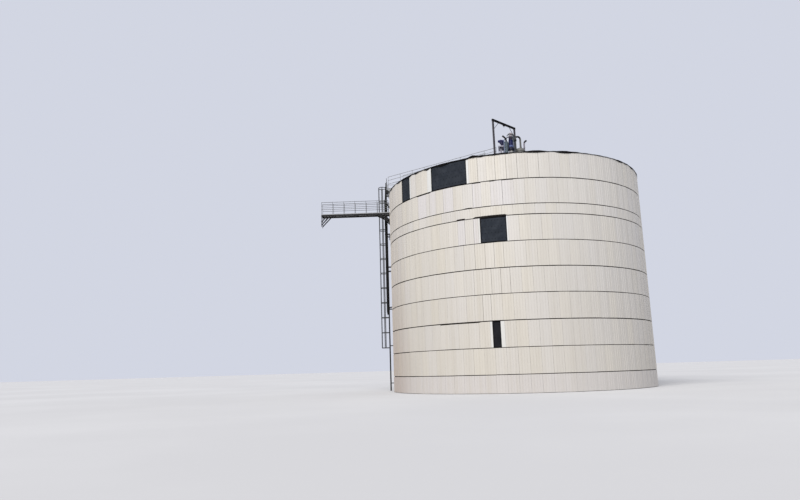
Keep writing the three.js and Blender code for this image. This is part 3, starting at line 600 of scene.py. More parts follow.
def sheet_columns(start, end):
    """Bearings and radii across one sheet: pans with a raised rib between them and turned-in side edges."""
    width = radians(end - start) * TANK_R
    ribs = max(1, round(width / RIB_PITCH) - 1) if width > 0.3 else 0
    pan = TANK_R - RIB_HEIGHT
    columns = [(0.0, pan - LIP), (0.003, pan)]
    for i in range(ribs):
        rib = width * (i + 1) / (ribs + 1)
        columns += [(rib - RIB_FOOT, pan), (rib - RIB_TOP, TANK_R)]
        columns += [(rib + RIB_TOP, TANK_R), (rib + RIB_FOOT, pan)]
    columns += [(width - 0.003, pan), (width, pan - LIP)]
    return [(start + degrees(s / TANK_R), radius) for s, radius in columns]


def shift(course, what, bearing):
    """How far an edge is moved at a bearing, on the sheets that sit high or end low."""
    bearing = (bearing + 180) % 360 - 180
    return sum(size for a, b, size in known(course, what) if a <= bearing <= b)


def seam_slack(course, bearing):
    """Half the gap at a sheet's side, in degrees; some seams stand wide open."""
    wide = any(abs(bearing - c) < 0.01 for c in known(course, "seams"))
    gap = chance.uniform(0.012, 0.018) if wide else chance.choice((0.003, 0.004, 0.005, 0.006, 0.009))
    return degrees(gap / 2 / TANK_R)


def cladding(course):
    """The sheets of one course, each folded in at all its edges and a little out of line."""
    course_low, course_high = course_span(course)
    solids = Solids()
    for start, end, kind in sheet_stretches(course):
        tint = sheet_tint(kind, course == "plinth_band")
        low = course_low + chance.uniform(-0.004, 0.006)
        top = course_high + chance.uniform(-0.006, 0.004)
        left, right = start + seam_slack(course, start), end - seam_slack(course, end)
        rings = []
        for bearing, radius in sheet_columns(left, right):
            spread = JOINT_SPREAD * max(0, -cos(radians(bearing)) - SPREAD_START)
            bottom = low + spread + shift(course, "high", bearing)
            high = top - spread - shift(course, "low", bearing)
            inner, back = radius - SHEET_T, radius - LIP
            rings.append(upright(bearing, [
                (back, bottom), (radius, bottom), (radius, high), (back, high), (back, high - SHEET_T),
                (inner, high - SHEET_T), (inner, bottom + SHEET_T), (back, bottom + SHEET_T)]))
        solids.loft(rings, tint)
    nodes = [course] + ([course + "_short"] if course == COURSES[-1] else [])
    make(f"sheets_{course}", solids, SHEET, nodes)


def curved_strip(solids, start, end, outer, low, high, tint=None):
    """A strip on the tank's shell between two bearings."""
    steps, inner = max(2, ceil(end - start)), WALL_R + 0.002
    outline = [(inner, low), (outer, low), (outer, high), (inner, high)]
    solids.loft([upright(start + (end - start) * k / steps, outline) for k in range(steps + 1)], tint)


def board(boards, fixings, start, end, low, high, tint):
    """One insulation board with its four fixings."""
    curved_strip(boards, start + 0.012, end - 0.012, BOARD_FACE, low, high, tint)
    for s, t in corners(0.25, 0.25):
        place = on_tank(BOARD_FACE, start + (end - start) * (0.5 + s), low + (high - low) * (0.5 + t))
        fixings.turned([(0.03, 0), (0.028, 0.006)], place, 10, (place.x, place.y, 0))


def bare_places():
    """Insulation boards in the places without sheets, framed by black strips that paint the shadow at their
    recessed edges.
    """
    boards, fixings_and_shadow_strips = Solids(), Solids()
    for course in COURSES:
        low, high = course_span(course)
        half = (low + high) / 2
        shade = Vector(WET_BOARD if course == WET_COURSE else (1, 1, 1))
        for start, end in known(course, "bare"):
            count = max(1, round((end - start) / BOARD_ARC))
            step = (end - start) / count
            for i in range(count):
                for z0, z1 in ((low + 0.02, half - 0.003), (half + 0.003, high - 0.02)):
                    tint = tuple(shade * chance.uniform(0.92, 1.1))
                    board(boards, fixings_and_shadow_strips, start + step * i, start + step * (i + 1), z0, z1, tint)
            # Painted shadow: black strips at the sides, top and bottom of each bare place
            for a, b in ((start - 0.3, start + 0.32), (end - 0.22, end + 0.3)):
                curved_strip(fixings_and_shadow_strips, a, b, SHADOW_STRIP_FACE, low - 0.03, high + 0.01)
            for z0, z1 in ((low - 0.08, low + 0.05), (high - 0.07, high + 0.05)):
                curved_strip(fixings_and_shadow_strips, start - 0.3, end + 0.3, SHADOW_STRIP_FACE, z0, z1)
    make("insulation_boards", boards, BOARD)
    make("insulation_fixings_and_shadow_strips", fixings_and_shadow_strips, MEMBRANE)


def rim_fold(bearing):
    """How far the membrane's folds drop and rise at a bearing."""
    bearing = (bearing - RIM_START) % 120 + RIM_START
    drop = rise = 0.0
    for place, half, down, up in RIM_FOLDS:
        if abs(bearing - place) < half:
            swell = cos(pi / 2 * (bearing - place) / half) ** 2
            drop += down * swell
            rise += up * swell
    return drop, rise


def rim_membrane():
    """A black membrane turned over the rim, with uneven edges."""
    waves = [(chance.uniform(0.002, 0.006), n, chance.uniform(0, 6.28)) for n in (53, 71, 97, 131)]
    rings, inner = [], WALL_R - 0.25
    for k in range(RIM_STEPS):
        bearing = 360 * k / RIM_STEPS
        a = radians(bearing)
        ripple = sum(size * sin(n * a + phase) for size, n, phase in waves)
        drop, rise = rim_fold(bearing)
        top, bottom = RIM_TOP + rise + ripple, RIM_LOW - drop + ripple * 0.7
        out = TANK_R + 0.02 + 0.008 * sin(41 * a)
        fold = min(0.025, (top - bottom) * 0.4)
        rings.append(upright(bearing, [
            (inner, EAVE + 0.08), (out - 0.03, top), (out, top - fold), (out + 0.004, bottom),
            (out - 0.012, bottom), (out - 0.02, top - fold - 0.01), (inner, EAVE + 0.05)]))
    solids = Solids()
    solids.loft(rings, closed=True)
    make("rim_membrane", solids, MEMBRANE, ["rim_flashing"], 60)


for name in COURSES:
    cladding(name)
bare_places()
rim_membrane()


# Roof covering and crown

def roof_top(radius):
    return EAVE + (WALL_R - radius) * ROOF_SLOPE


def roof_trim():
    """Seams with screws and laps on the roof, and a bolted strip around the crown."""
    seams, trim = Solids(), Solids()
    step, ends = 360 / ROOF_SEAMS, (CROWN_R + 0.03, WALL_R - 0.12)
    for i in range(ROOF_SEAMS):
        start, end = [on_tank(r, step * (i + 0.5), roof_top(r) + 0.012) for r in ends]
        seams.bar(start, end, 0.05, 0.03)
        for k in range(SEAM_SCREWS):
            place = start.lerp(end, (k + 0.5) / SEAM_SCREWS) + UP * 0.014
            seams.turned([(0.012, 0), (0.009, 0.008)], place, 8)
        trim.bolt(on_tank(CROWN_R - 0.12, step * i + 3, CROWN), size=0.016)
        trim.bolt(on_tank(CROWN_R, step * i, CROWN - 0.14), on_tank(1, step * i), 0.016)
    laps = [(seams, r, roof_top(r) + 0.004, 0.12, 0.012) for r in ROOF_LAPS]
    for solids, radius, z, width, height in laps + [(trim, CROWN_R - 0.01, CROWN - 0.03, 0.03, 0.06)]:
        for bearing in range(0, 360, 5):
            solids.bar(on_tank(radius, bearing, z), on_tank(radius, bearing + 5, z), width, height)
    make("roof_seams", seams, FELT)
    make("crown_trim", trim, STEEL)


roof_trim()


# Walkways: gratings, railings, the bridge, the rim platform and the ladder

def grating(solids, corner, length, width, rise=0.0):
    """Bearing bars across and tie bars along, from a low corner towards +X and +Y; rise is its slope."""
    x0, y0, z0 = corner
    for i in range(int(length / GRATE_PITCH) + 1):
        x = x0 + min(GRATE_PITCH * i, length)
        z = z0 + rise * (x - x0)
        solids.box((x - 0.002, y0, z - GRATE_HEIGHT), (x + 0.002, y0 + width, z))
    ties = max(2, round(width / TIE_PITCH))
    for k in range(ties + 1):
        y = y0 + width * k / ties
        solids.bar((x0, y, z0 - 0.006), (x0 + length, y, z0 - 0.006 + rise * length), 0.006, 0.008)


def railing(node, bays, slope=0.0, toe=True, foot_drop=0.0, material=ZINC):
    """Round posts on foot plates, three rails and a toe plate, in the upright plane of a CAD railing."""
    low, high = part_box(node)
    along = Vector((1, 0, 0)) if high.x - low.x > high.y - low.y else ACROSS
    side = Vector((along.y, along.x, 0))
    run = along.dot(high - low) - 2 * RAIL_R
    start = along * (along.dot(low) + RAIL_R) + side * (side.dot(low + high) / 2) + UP * low.z
    end = start + (along + UP * slope) * run
    plate = along * 0.042 + side * 0.03
    solids = Solids()
    for i in range(bays + 1):
        base = start.lerp(end, i / bays)
        foot = base - UP * (foot_drop if i == bays else 0)
        solids.tube([foot, base + UP * (RAIL_TOPS[-1] - 0.02)], POST_R)
        solids.box(foot - plate, foot + plate + UP * 0.01)
        for sign in SIDES:
            solids.bolt(foot + along * (0.033 * sign) + UP * 0.01, size=0.006)
        for rail in RAIL_TOPS:
            solids.turned(RAIL_COLLAR, base + UP * (rail - RAIL_R), 10)
    for rail, radius in zip(RAIL_TOPS, (0.02, 0.02, RAIL_R)):
        lift = UP * (rail - RAIL_R)
        solids.tube([start + lift, end + lift], radius)
    if toe:
        lift = UP * 0.06 + side * 0.024
        solids.bar(start + lift, end + lift, 0.005, 0.1)
    make(node.replace("railing", "rails"), solids, material, [node])


def channel(face, side, bottom, top, flange, t=0.009):
    """Outline of a channel with its back at a given Y and its flanges towards the middle."""
    inside, web = face - side * flange, face - side * t
    return [(face, bottom), (inside, bottom), (inside, bottom + t), (web, bottom + t),
            (web, top - t), (inside, top - t), (inside, top), (face, top)]


def i_beam(half, height, flange, web):
    """Outline of an I-shaped beam that stands on its lower flange."""
    right = [(half, 0), (half, flange), (web, flange), (web, height - flange), (half, height - flange),
             (half, height)]
    return [(-half, 0)] + right + [(-x, z) for x, z in reversed(right[1:])]


def knee_braces(steel, foot_x, y, sign, knees):
    """Braces under the bridge, from an upright plate with its bolts."""
    plate_x = foot_x + sign * 0.01
    for foot_z, reach in knees:
        head = (foot_x + sign * reach, y, BRIDGE_LOW + 0.015)
        steel.bar((foot_x, y, foot_z), head, KNEE_BAR, KNEE_BAR, ACROSS)
    x0, x1 = sorted((foot_x - sign * 0.018, plate_x))
    steel.block((x0, y - 0.06, KNEE_PLATE_LOW), (x1, y + 0.06, BRIDGE_LOW + 0.01), 0.003)
    for z in KNEE_BOLTS:
        for dy in (-0.042, 0.042):
            steel.bolt((plate_x, y + dy, z), (sign, 0, 0), 0.011)


def bridge_frame():
    """Two channels on knee braces, joined by beams and flat diagonals."""
    low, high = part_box("bridge_frame")
    end, wall = low.x, wall_x(BRIDGE_HALF) - 0.005
    steel = Solids()
    for side in SIDES:
        outline = channel(side * BRIDGE_HALF, side, BRIDGE_LOW, high.z, 0.07)
        steel.loft([[(x, y, z) for y, z in outline] for x in (end, wall)])
        y = side * BRIDGE_SIDE
        knee_braces(steel, wall_x(y) - 0.02, y, -1, WALL_KNEES)
        knee_braces(steel, end + 0.02, y, 1, END_KNEES)
        for i in range(BRIDGE_BAYS + 1):
            for z in BOLT_LINES:
                steel.bolt((end + 0.35 + i * BOLT_PITCH, side * BRIDGE_HALF, BRIDGE_LOW + z), (0, side, 0))
    bay = (wall - end - 0.1) / BRIDGE_BAYS
    inside = BRIDGE_HALF - 0.012
    outline = i_beam(0.05, 0.13, 0.01, 0.005)
    for i in range(BRIDGE_BAYS + 1):
        x = end + 0.05 + i * bay
        steel.loft([[(x + a, y, BRIDGE_LOW + 0.005 + b) for a, b in outline] for y in (-inside, inside)])
    for i in range(BRIDGE_BAYS):
        x0, y, z = end + 0.1 + i * bay, 0.33 if i % 2 else -0.33, BRIDGE_LOW + 0.02
        steel.bar((x0, -y, z), (x0 + bay - 0.1 / BRIDGE_BAYS, y, z), 0.05, 0.006)
    make("bridge_steelwork", steel, STEEL, ["bridge_frame"])


def bridge_deck():
    low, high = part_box("bridge_deck")
    frame_low, frame_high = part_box("bridge_frame")
    plates, size = Solids(), high - low
    grating(plates, (low.x, low.y, high.z), size.x, size.y)
    ends = frame_low.x + 0.01, wall_x(BRIDGE_HALF) - 0.025
    for side in SIDES:
        # The second strip is a pale galvanised plate on the outer top of each channel, painted light for the
        # lit upper part of the channel face
        for x0, x1, y, z, depth in ((low.x, high.x, high.y - 0.01, high.z - 0.02, 0.04),
                                    (*ends, BRIDGE_HALF + 0.003, frame_high.z - 0.035, 0.07)):
            plates.bar((x0, side * y, z), (x1, side * y, z), 0.006, depth)
    make("bridge_grating", plates, ZINC, ["bridge_deck"])
    for which in ("near", "far"):
        railing(f"bridge_railing_{which}", BRIDGE_BAYS, toe=False, material=RAIL_ZINC)


def deck_bay(plates, edge, x0, x1, y0, y1, depth):
    """A level grating between edge plates."""
    low, high = DECK_TOP - depth, DECK_TOP + 0.004
    for x in (x0 + 0.008, x1 - 0.008):
        edge.block((x - 0.008, y0, low), (x + 0.008, y1, high), 0.002)
    for y in (y0 + 0.006, y1 - 0.006):
        edge.block((x0, y - 0.006, low), (x1, y + 0.006, high), 0.002)
    grating(plates, (x0 + 0.02, y0 + 0.02, DECK_TOP), x1 - x0 - 0.04, y1 - y0 - 0.04)


def rim_platform():
    low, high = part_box("rim_platform")
    steel, plates = Solids(), Solids()
    beams = (low.y + 0.04, LANDING_NEAR + 0.06, (LANDING_NEAR + high.y) / 2, high.y - 0.06)
    outline = channel(-0.035, -1, 0, 0.16, 0.07, 0.01)
    for y in beams:
        ends = (low.x, DECK_STRIP) if y == beams[0] else (wall_x(y), high.x)
        steel.loft([[(x, y + a, DECK_TOP - DECK_DEPTH + b) for a, b in outline] for x in ends])
        foot = (wall_x(y) - 0.02, y, DECK_BRACE_LOW)
        steel.bar(foot, (low.x + 0.06, y, DECK_TOP - 0.06), 0.03, 0.03, ACROSS)
    for y in beams[1:]:
        for x in (DECK_LEG_X, high.x - 0.06):
            foot = Vector((x, y, roof_top(hypot(x, y)) - 0.01))
            steel.bar(foot, (x, y, DECK_TOP - 0.06), 0.07, 0.07)
            steel.block(foot - Vector((0.08, 0.08, 0.01)), foot + Vector((0.08, 0.08, 0.02)), 0.003)
            for dx, dy in corners(0.055, 0.055):
                steel.bolt(foot + Vector((dx, dy, 0.02)), size=0.01)
    deck_bay(plates, plates, low.x, high.x, LANDING_NEAR, high.y, 0.05)
    deck_bay(plates, steel, low.x, DECK_STRIP, low.y, LANDING_NEAR, DECK_DEPTH)
    make("rim_platform_steel", steel, STEEL, ["rim_platform"])
    make("rim_platform_grating", plates, ZINC)
    for side in ("far", "outer", "inner"):
        railing(f"rim_railing_{side}", 2)


def walk_top(x):
    return DECK_TOP + (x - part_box("rim_platform")[0].x) * ROOF_SLOPE


def roof_walkway():
    """A sloping grating between two channels, on short legs."""
    x0, x1 = [corner.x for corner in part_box("roof_walkway")]
    steel = Solids()
    for side in SIDES:
        outline = channel(side * WALK_HALF, side, -0.14, 0.06, 0.05)
        steel.loft([[(x, y, walk_top(x) + z) for y, z in outline] for x in (x0, x1)])
        for i in range(WALK_LEGS):
            x, y = x0 + 0.3 + i * (x1 - x0 - 0.5) / (WALK_LEGS - 1), side * WALK_LEG_Y
            foot = Vector((x, y, roof_top(hypot(x, y))))
            steel.bar(foot, (x, y, walk_top(x) - 0.1), 0.06, 0.06)
            steel.block(foot - Vector((0.09, 0.07, 0.03)), foot + Vector((0.09, 0.07, 0.02)), 0.003)
    for i in range(WALK_TIES):
        x = x0 + 0.05 + i * (x1 - x0 - 0.1) / (WALK_TIES - 1)
        steel.bar((x, -WALK_GRATE, walk_top(x) - 0.07), (x, WALK_GRATE, walk_top(x) - 0.07), 0.05, 0.05)
    grating(steel, (x0, -WALK_GRATE, walk_top(x0)), x1 - x0, 2 * WALK_GRATE, ROOF_SLOPE)
    make("roof_walkway_steel", steel, ZINC, ["roof_walkway"])
    foot_drop = walk_top(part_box("walkway_railing_near")[1].x - RAIL_R) + 0.06 - CROWN
    railing("walkway_railing_near", 9, ROOF_SLOPE, toe=False, foot_drop=foot_drop)
    railing("walkway_railing_far", 7, ROOF_SLOPE, toe=False)


def ladder_stile(steel, side):
    """A flat stile with a rounded grab rail on top, and its brackets to the wall."""
    foot, (front, back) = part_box("ladder")[0].z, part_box("grab_rail_near")
    x, y, top = LADDER_X, LADDER_Y + side * LADDER_HALF, back.z
    wall, shelf = wall_x(y), y - side * 0.02
    steel.block((front.x - 0.01, y - 0.006, foot), (back.x + 0.01, y + 0.006, top - 0.05), 0.002)
    steel.tube([(x, y, top - 0.06), (x, y, top - 0.01), (x + 0.01, y, top)], 0.02)
    for z in BRACKETS:
        steel.bar((x, y, z), (wall, y, z), 0.01, 0.03 if z == BRACKETS[-1] else 0.06)
        steel.bar((x, shelf, z + 0.03), (wall, shelf, z + 0.03), 0.045, 0.008)
        drop = 0.45 if z in LONG_PLATES else 0.09
        steel.block((wall - 0.012, y - 0.07, z - drop), (wall + 0.03, y + 0.07, z + 0.09), 0.003)
        for dy, dz in corners(0.045, 0.06):
            steel.bolt((wall - 0.012, y + dy, z + dz), (-1, 0, 0), 0.009)
        steel.bolt((x, y + side * 0.006, z), (0, side, 0), 0.01)


def caged_ladder():
    steel = Solids()
    for side in SIDES:
        ladder_stile(steel, side)
    for k in range(ceil((DECK_TOP - FIRST_RUNG) / RUNG_PITCH)):
        rung = Vector((LADDER_X, LADDER_Y, FIRST_RUNG + RUNG_PITCH * k))
        steel.tube([rung - ACROSS * LADDER_HALF, rung + ACROSS * LADDER_HALF], 0.015, 8)
        for weld in (-LADDER_HALF - 0.006, LADDER_HALF):
            steel.turned([(0.02, 0), (0.02, 0.006)], rung + ACROSS * weld, 8, ACROSS)
    make("ladder_steel", steel, DARK_ZINC, ["ladder", "grab_rail_near", "grab_rail_far"])


def safety_cage():
    """Flat hoops around the ladder, with upright straps bolted to them."""
    front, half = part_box("ladder_cage_near")[1].x, LADDER_HALF + 0.004
    centre = Vector((CAGE_X, LADDER_Y, 0))
    arc = [centre + on_tank(CAGE_R, 90 + 7.5 * i) for i in range(25)]
    plan = [Vector((front, LADDER_Y + half, 0)), *arc, Vector((front, LADDER_Y - half, 0))]
    outline = [(0, -HOOP_HALF), (0.008, -HOOP_HALF), (0.008, HOOP_HALF), (0, HOOP_HALF)]
    pitch = (CAGE_HIGH.z - CAGE_LOW.z - 2 * HOOP_HALF) / (HOOPS - 1)
    steel = Solids()
    for i in range(HOOPS):
        lift = UP * (CAGE_LOW.z + HOOP_HALF + pitch * i)
        steel.sweep([p + lift for p in plan], outline)
        for bearing in STRAPS:
            steel.bolt(centre + on_tank(CAGE_R + 0.002, bearing) + lift, on_tank(1, bearing), 0.01)
        for side in SIDES:
            steel.bolt((front - 0.02, LADDER_Y + side * (half + 0.006), lift.z), (0, side, 0), 0.01)
    for bearing in STRAPS:
        place = centre + on_tank(CAGE_R, bearing)
        steel.tube([place + UP * CAGE_LOW.z, place + UP * CAGE_HIGH.z], 0.019, 8)
    make("safety_cage", steel, OLD_ZINC, [f"ladder_cage_{s}" for s in ("near", "far", "back")])


bridge_frame()
bridge_deck()
rim_platform()
roof_walkway()
caged_ladder()
safety_cage()


# Downcomer pipe, with a thin stub above it that ends in a cap

def downcomer():
    x, y, r = PIPE_X, PIPE_Y, PIPE_R
    wall, height = wall_x(y), PIPE_TOP - PIPE_LOW
    jacket, steel = Solids(), Solids()
    jacket.turned([(0.025, 0), (0.035, 0.006), (r, 0.3), (r, height - 0.03), (r * 0.92, height - 0.01),
                   (r * 0.5, height)], (x, y, PIPE_LOW), 20)
    for start, end, radius in PIPE_ARMS:
        jacket.tube([(x, y, start), (wall + 0.03, y, end)], radius, 16, ACROSS)
    cap = (x + 0.06, y, STUB_TOP - 0.04)
    jacket.tube([(x, y, PIPE_TOP - 0.02), cap], 0.046, 14, ACROSS)
    jacket.turned([(0.046, 0), (0.056, 0.004), (0.056, 0.034), (0.03, 0.04)], cap, 14)
    for k in range(ceil((height - 0.8) / BAND_PITCH)):
        steel.collar((x, y, PIPE_LOW + 0.588 + BAND_PITCH * k), r + 0.001, r + 0.004, 0.024, 0)
    for z, drop in PIPE_CLAMPS:
        steel.collar((x, y, z - 0.03), r, r + 0.012, 0.06, 0)
        steel.bar((x + r, y, z), (wall, y, z), 0.05, 0.13)
        steel.block((wall - 0.14, y - 0.02, z - drop), (wall - 0.07, y + 0.02, z + 0.06), 0.003)
        steel.block((wall - 0.012, y - 0.06, z - drop), (wall + 0.03, y + 0.06, z + 0.07), 0.003)
        for dy in (-0.04, 0.04):
            steel.bolt((wall - 0.012, y + dy, z + 0.05), (-1, 0, 0), 0.01)
            steel.bolt((x, y + dy * 2.8, z), (0, dy, 0), 0.008)
    make("downcomer_jacket", jacket, JACKET, ["downcomer_pipe"])
    make("downcomer_brackets", steel, STEEL)


downcomer()


# Roof plant

def gantry_fittings():
    """Bolts, plates, the trolley's wheels and a hook, set square to the gantry's beam."""
    def at(u, v, z):
        return GANTRY_TURN @ Vector((u, v, z))

    steel = Solids()
    low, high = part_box("gantry_beam")
    beam_low = high.z - 0.17
    for side in SIDES:
        u = side * GANTRY_HALF
        for du, dv in corners(0.115, 0.115):
            steel.bolt(at(u + du, dv, CROWN + 0.04), size=0.016)
        for du, dv in corners(0.05, 0.05):
            steel.bolt(at(u + du, dv, beam_low + 0.016))
        x0, x1 = sorted((u + side * 0.085, u + side * 0.097))
        for low_end, high_end in (((u - 0.09, -0.09, beam_low - 0.014), (u + 0.09, 0.09, beam_low - 0.001)),
                                  ((x0, -0.08, beam_low - 0.005), (x1, 0.08, high.z + 0.004))):
            steel.block(low_end, high_end, 0.002, GANTRY_TURN)
    for u in (-0.07, 0.07):
        steel.turned([(0.045, 0), (0.045, 0.024)], at(u, -0.062, beam_low - 0.05), 16, (0.7, -0.7, 0))
    steel.tube([at(0, 0, low.z + 0.01), at(0, 0, low.z - 0.06)], 0.012, 8)
    hook = [(0.0, 0.0), (0.03, -0.02), (0.045, -0.06), (0.02, -0.1), (-0.03, -0.1), (-0.05, -0.06)]
    steel.tube([at(a, 0, low.z - 0.05 + b) for a, b in hook], 0.011, 8, (0.7, -0.7, 0))
    make("gantry_fittings", steel, STEEL)


def mixer_pedestal():
    grey, foot = Solids((2.1, 2.1, 2.2)), MIXER + UP * CROWN
    head = GEAR_LOW - CROWN
    grey.turned([(0.28, 0.001), (0.28, 0.04), (0.2, 0.05), (0.19, head - 0.115)], foot, 32)
    for x, y in circle(1, 8):
        out, across = Vector((x, y, 0)), Vector((-y, x, 0)) * 0.006
        tri = [foot + out * a + UP * z for a, z in ((0.18, 0.04), (0.27, 0.04), (0.18, 0.24))]
        grey.loft([[p - across for p in tri], [p + across for p in tri]])
    grey.bolt_ring(foot + UP * 0.04, 0.245, 12)
    make("mixer_pedestal_body", grey, STONE, ["mixer_pedestal"])


def mixer_gearbox():
    gear, foot, height = Solids(DEEP_NAVY), MIXER + UP * GEAR_LOW, MOTOR_LOW - GEAR_LOW
    gear.turned([(0.3, -0.12), (0.31, -0.11), (0.31, 0.05), (0.25, 0.1), (0.25, height * 0.55)], foot, 32)
    lantern = [(0.245, height * 0.55), (0.24, height - 0.11), (0.262, height - 0.07), (0.27, height - 0.002)]
    # Painted highlight: the lantern's pale blue stands for light on the flange under the motor
    gear.turned(lantern, foot, 32, tint=BLUE_PAINTED_HIGHLIGHT)
    gear.bolt_ring(foot - UP * 0.12, 0.285, 12, -UP)
    gear.bolt_ring(foot + UP * 0.05, 0.285, 12)
    gear.ribs(foot, 0.252, 12, 0.08, height * 0.52, 0.03, 0.012)
    gear.turned([(0.03, 0), (0.03, 0.03), (0.02, 0.035)], foot + Vector((0, -0.25, 0.2)), 8, -ACROSS)
    make("mixer_gearbox_body", gear, DRIVE, ["mixer_gearbox"])


def mixer_motor():
    """A finned motor under a cowl with dark rings, a cable duct beside it and boxes on its side."""
    motor, x = Solids(MOTOR_BLUE), MIXER.x
    foot, cowl = MIXER + UP * MOTOR_LOW, MIXER + UP * COWL_LOW
    body, head = COWL_LOW - MOTOR_LOW, MOTOR_TOP - COWL_LOW
    # Painted highlight: the motor's foot ring in pale blue, for light on the flange
    motor.turned([(0.25, 0.001), (0.25, 0.05), (0.215, 0.07)], foot, 32, tint=BLUE_PAINTED_HIGHLIGHT)
    motor.turned([(0.2, 0.065), (0.19, 0.18), (0.19, body), (0.16, body + 0.04)], foot, 32)
    motor.ribs(foot, 0.196, 36, 0.09, body - 0.03, 0.006, 0.026)
    motor.turned([(0.207, -0.03), (0.207, 0)], cowl, 32)
    motor.turned([(0.165, 0), (0.175, 0.03), (0.175, head - 0.16), (0.16, head - 0.14)], cowl, 32,
                 tint=VIOLET_GREY)
    motor.turned([(0.165, head - 0.15), (0.15, head - 0.02), (0.06, head)], cowl, 32, tint=ROSE_GREY)
    for k in range(4):
        motor.collar(cowl + UP * (0.06 + 0.08 * k), 0.176, 0.182, 0.02, 0.006, 32, tint=DEEP_NAVY)
    for low, high, radius, colour in ((CROWN, MOTOR_LOW + 0.42, 0.08, DUCT_LIGHT),
                                      (MOTOR_LOW + 0.4, MOTOR_TOP - 0.09, 0.085, DUCT_DARK)):
        motor.tube([(x + 0.265, -0.04, low), (x + 0.265, -0.04, high)], radius, 14, tint=colour)
    motor.block((x - 0.27, -0.14, GEAR_LOW + 0.06), (x - 0.17, 0.06, MOTOR_LOW + 0.4), 0.01, tint=BOX_NAVY)
    motor.block((x - 0.2, -0.22, COWL_LOW + 0.06), (x - 0.06, -0.1, COWL_LOW + 0.28), 0.01, tint=DEEP_NAVY)
    motor.bolt_ring(foot + UP * 0.05, 0.225, 8)
    make("mixer_motor_body", motor, DRIVE, ["mixer_motor"])


def mixer_rain_hood():
    """A curved sheet on four legs and a stem, with a rose-grey plate under the middle of its near edge that
    is a painted highlight.
    """
    top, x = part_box("mixer_rain_hood")[1].z, MIXER.x

    def curve(t, half=HOOD_HALF, drop=0.0):
        return x + half * t, top - drop - HOOD_SAG * t * t

    # Painted highlight: a rose-grey plate for the lit middle of the hood's near edge
    hood, hood_highlight = Solids(), Solids(ROSE_GREY)
    shares = [0.09 * i for i in range(-4, 5)]
    outline = [curve(t, drop=-0.004) for t in shares]
    outline += [(x + HOOD_HALF * t, top - 0.12) for t in reversed(shares)]
    hood_highlight.loft([[(a, y, b) for a, b in outline] for y in (-0.206, -0.19)])
    make("mixer_hood_painted_highlight", hood_highlight, DRIVE)
    shares = [i / 8 for i in range(-8, 9)]
    outline = [curve(t) for t in shares] + [curve(t, HOOD_HALF - 0.01, 0.03) for t in reversed(shares)]
    hood.loft([[(a, y, b) for a, b in outline] for y in (-0.2, 0.2)])
    for side, y in corners(1, 0.17):
        leg = (x + side * 0.28, y, top - 0.165), (x + side * 0.14, y * 0.5, MOTOR_TOP - 0.05)
        hood.tube(leg, 0.01, 8, ACROSS)
    hood.tube([(x, 0, MOTOR_TOP - 0.02), (x, 0, top - 0.02)], 0.05, 12)
    make("mixer_rain_hood_sheet", hood, ZINC, ["mixer_rain_hood"])


def centre_column():
    """The column with its flanges, its gooseneck, and the link pipe and riser beside it."""
    grey, neck, pipe, riser = Solids(), Solids(), Solids(), Solids((1.7, 1.6, 2.0))
    x, y, top = COLUMN
    foot = CROWN - top
    grey.turned([(0.2, foot + 0.001), (0.2, foot + 0.04), (0.15, foot + 0.05), (0.15, -0.08), (0.163, -0.07),
                 (0.163, -0.02), (0.1, 0)], COLUMN, 28)
    for lift in (0.8, 1.45):
        grey.flange((x, y, CROWN + lift), 0.15, 0.163)
    grey.bolt_ring((x, y, CROWN + 0.04), 0.178, 8, size=0.01)
    make("centre_column_body", grey, GREY, ["centre_column"])
    path = [(0, -0.02), (0, 0.09), (0.02, 0.2), (0.066, 0.33), (0.115, 0.41), (0.176, 0.47), (0.336, 0.61)]
    neck.tube([(x - a, y, top + b) for a, b in path], 0.082, 16, ACROSS)
    neck.collar((x - 0.3, y, top + 0.575), 0.083, 0.09, 0.04, 0.01, 16, (-0.76, 0, 0.65))
    make("column_gooseneck", neck, JACKET)
    bend = [(0, 0, 0.24), (0.054, 0.03, 0.37), (0.134, 0.1, 0.48), (0.224, 0.24, 0.55), (0.334, 0.4, 0.6)]
    pipe.tube([COLUMN + Vector(p) for p in bend], 0.04, 12)
    make("column_link_pipe", pipe, STEEL)
    path = [(0.21, foot), (0.21, 0.16), (0.15, 0.24), (0, 0.26)]
    riser.tube([(x - a, y, top + b) for a, b in path], 0.05, 12, ACROSS)
    make("column_riser", riser, GREY)


def pump_unit():
    """A finned pump that lies on a funnel, with a box on its near side."""
    pump, x, z = Solids(PUMP_VIOLET), PUMP.x, PUMP.z
    profile = [(0.07, -0.285), (0.115, -0.265), (0.125, -0.16), (0.135, -0.15), (0.135, -0.12),
               (0.125, -0.11), (0.125, 0.14), (0.14, 0.15), (0.14, 0.22), (0.1, 0.285)]
    pump.turned(profile, PUMP, 24, (1, 0, 0))
    for out_y, out_z in circle(1, 24):
        out = Vector((0, out_y, out_z))
        start = PUMP + out * 0.128 - Vector((0.1, 0, 0))
        pump.bar(start, start + Vector((0.22, 0, 0)), 0.006, 0.02, out)
    funnel = [(0.14, TABLE_TOP, 0.13), (0.14, TABLE_TOP + 0.03, 0.115), (0.03, z - 0.07, 0.24),
              (0.03, z - 0.03, 0.23)]
    pump.loft([[(x + dx + a, 0.6 * b, height) for a, b in circle(r, 24)] for dx, height, r in funnel],
              tuple(Vector(PUMP_VIOLET) * 0.4))
    pump.block((x - 0.08, -0.15, z + 0.02), (x + 0.06, -0.11, z + 0.12), 0.01)
    make("pump_head", pump, DRIVE, ["pump_unit"])


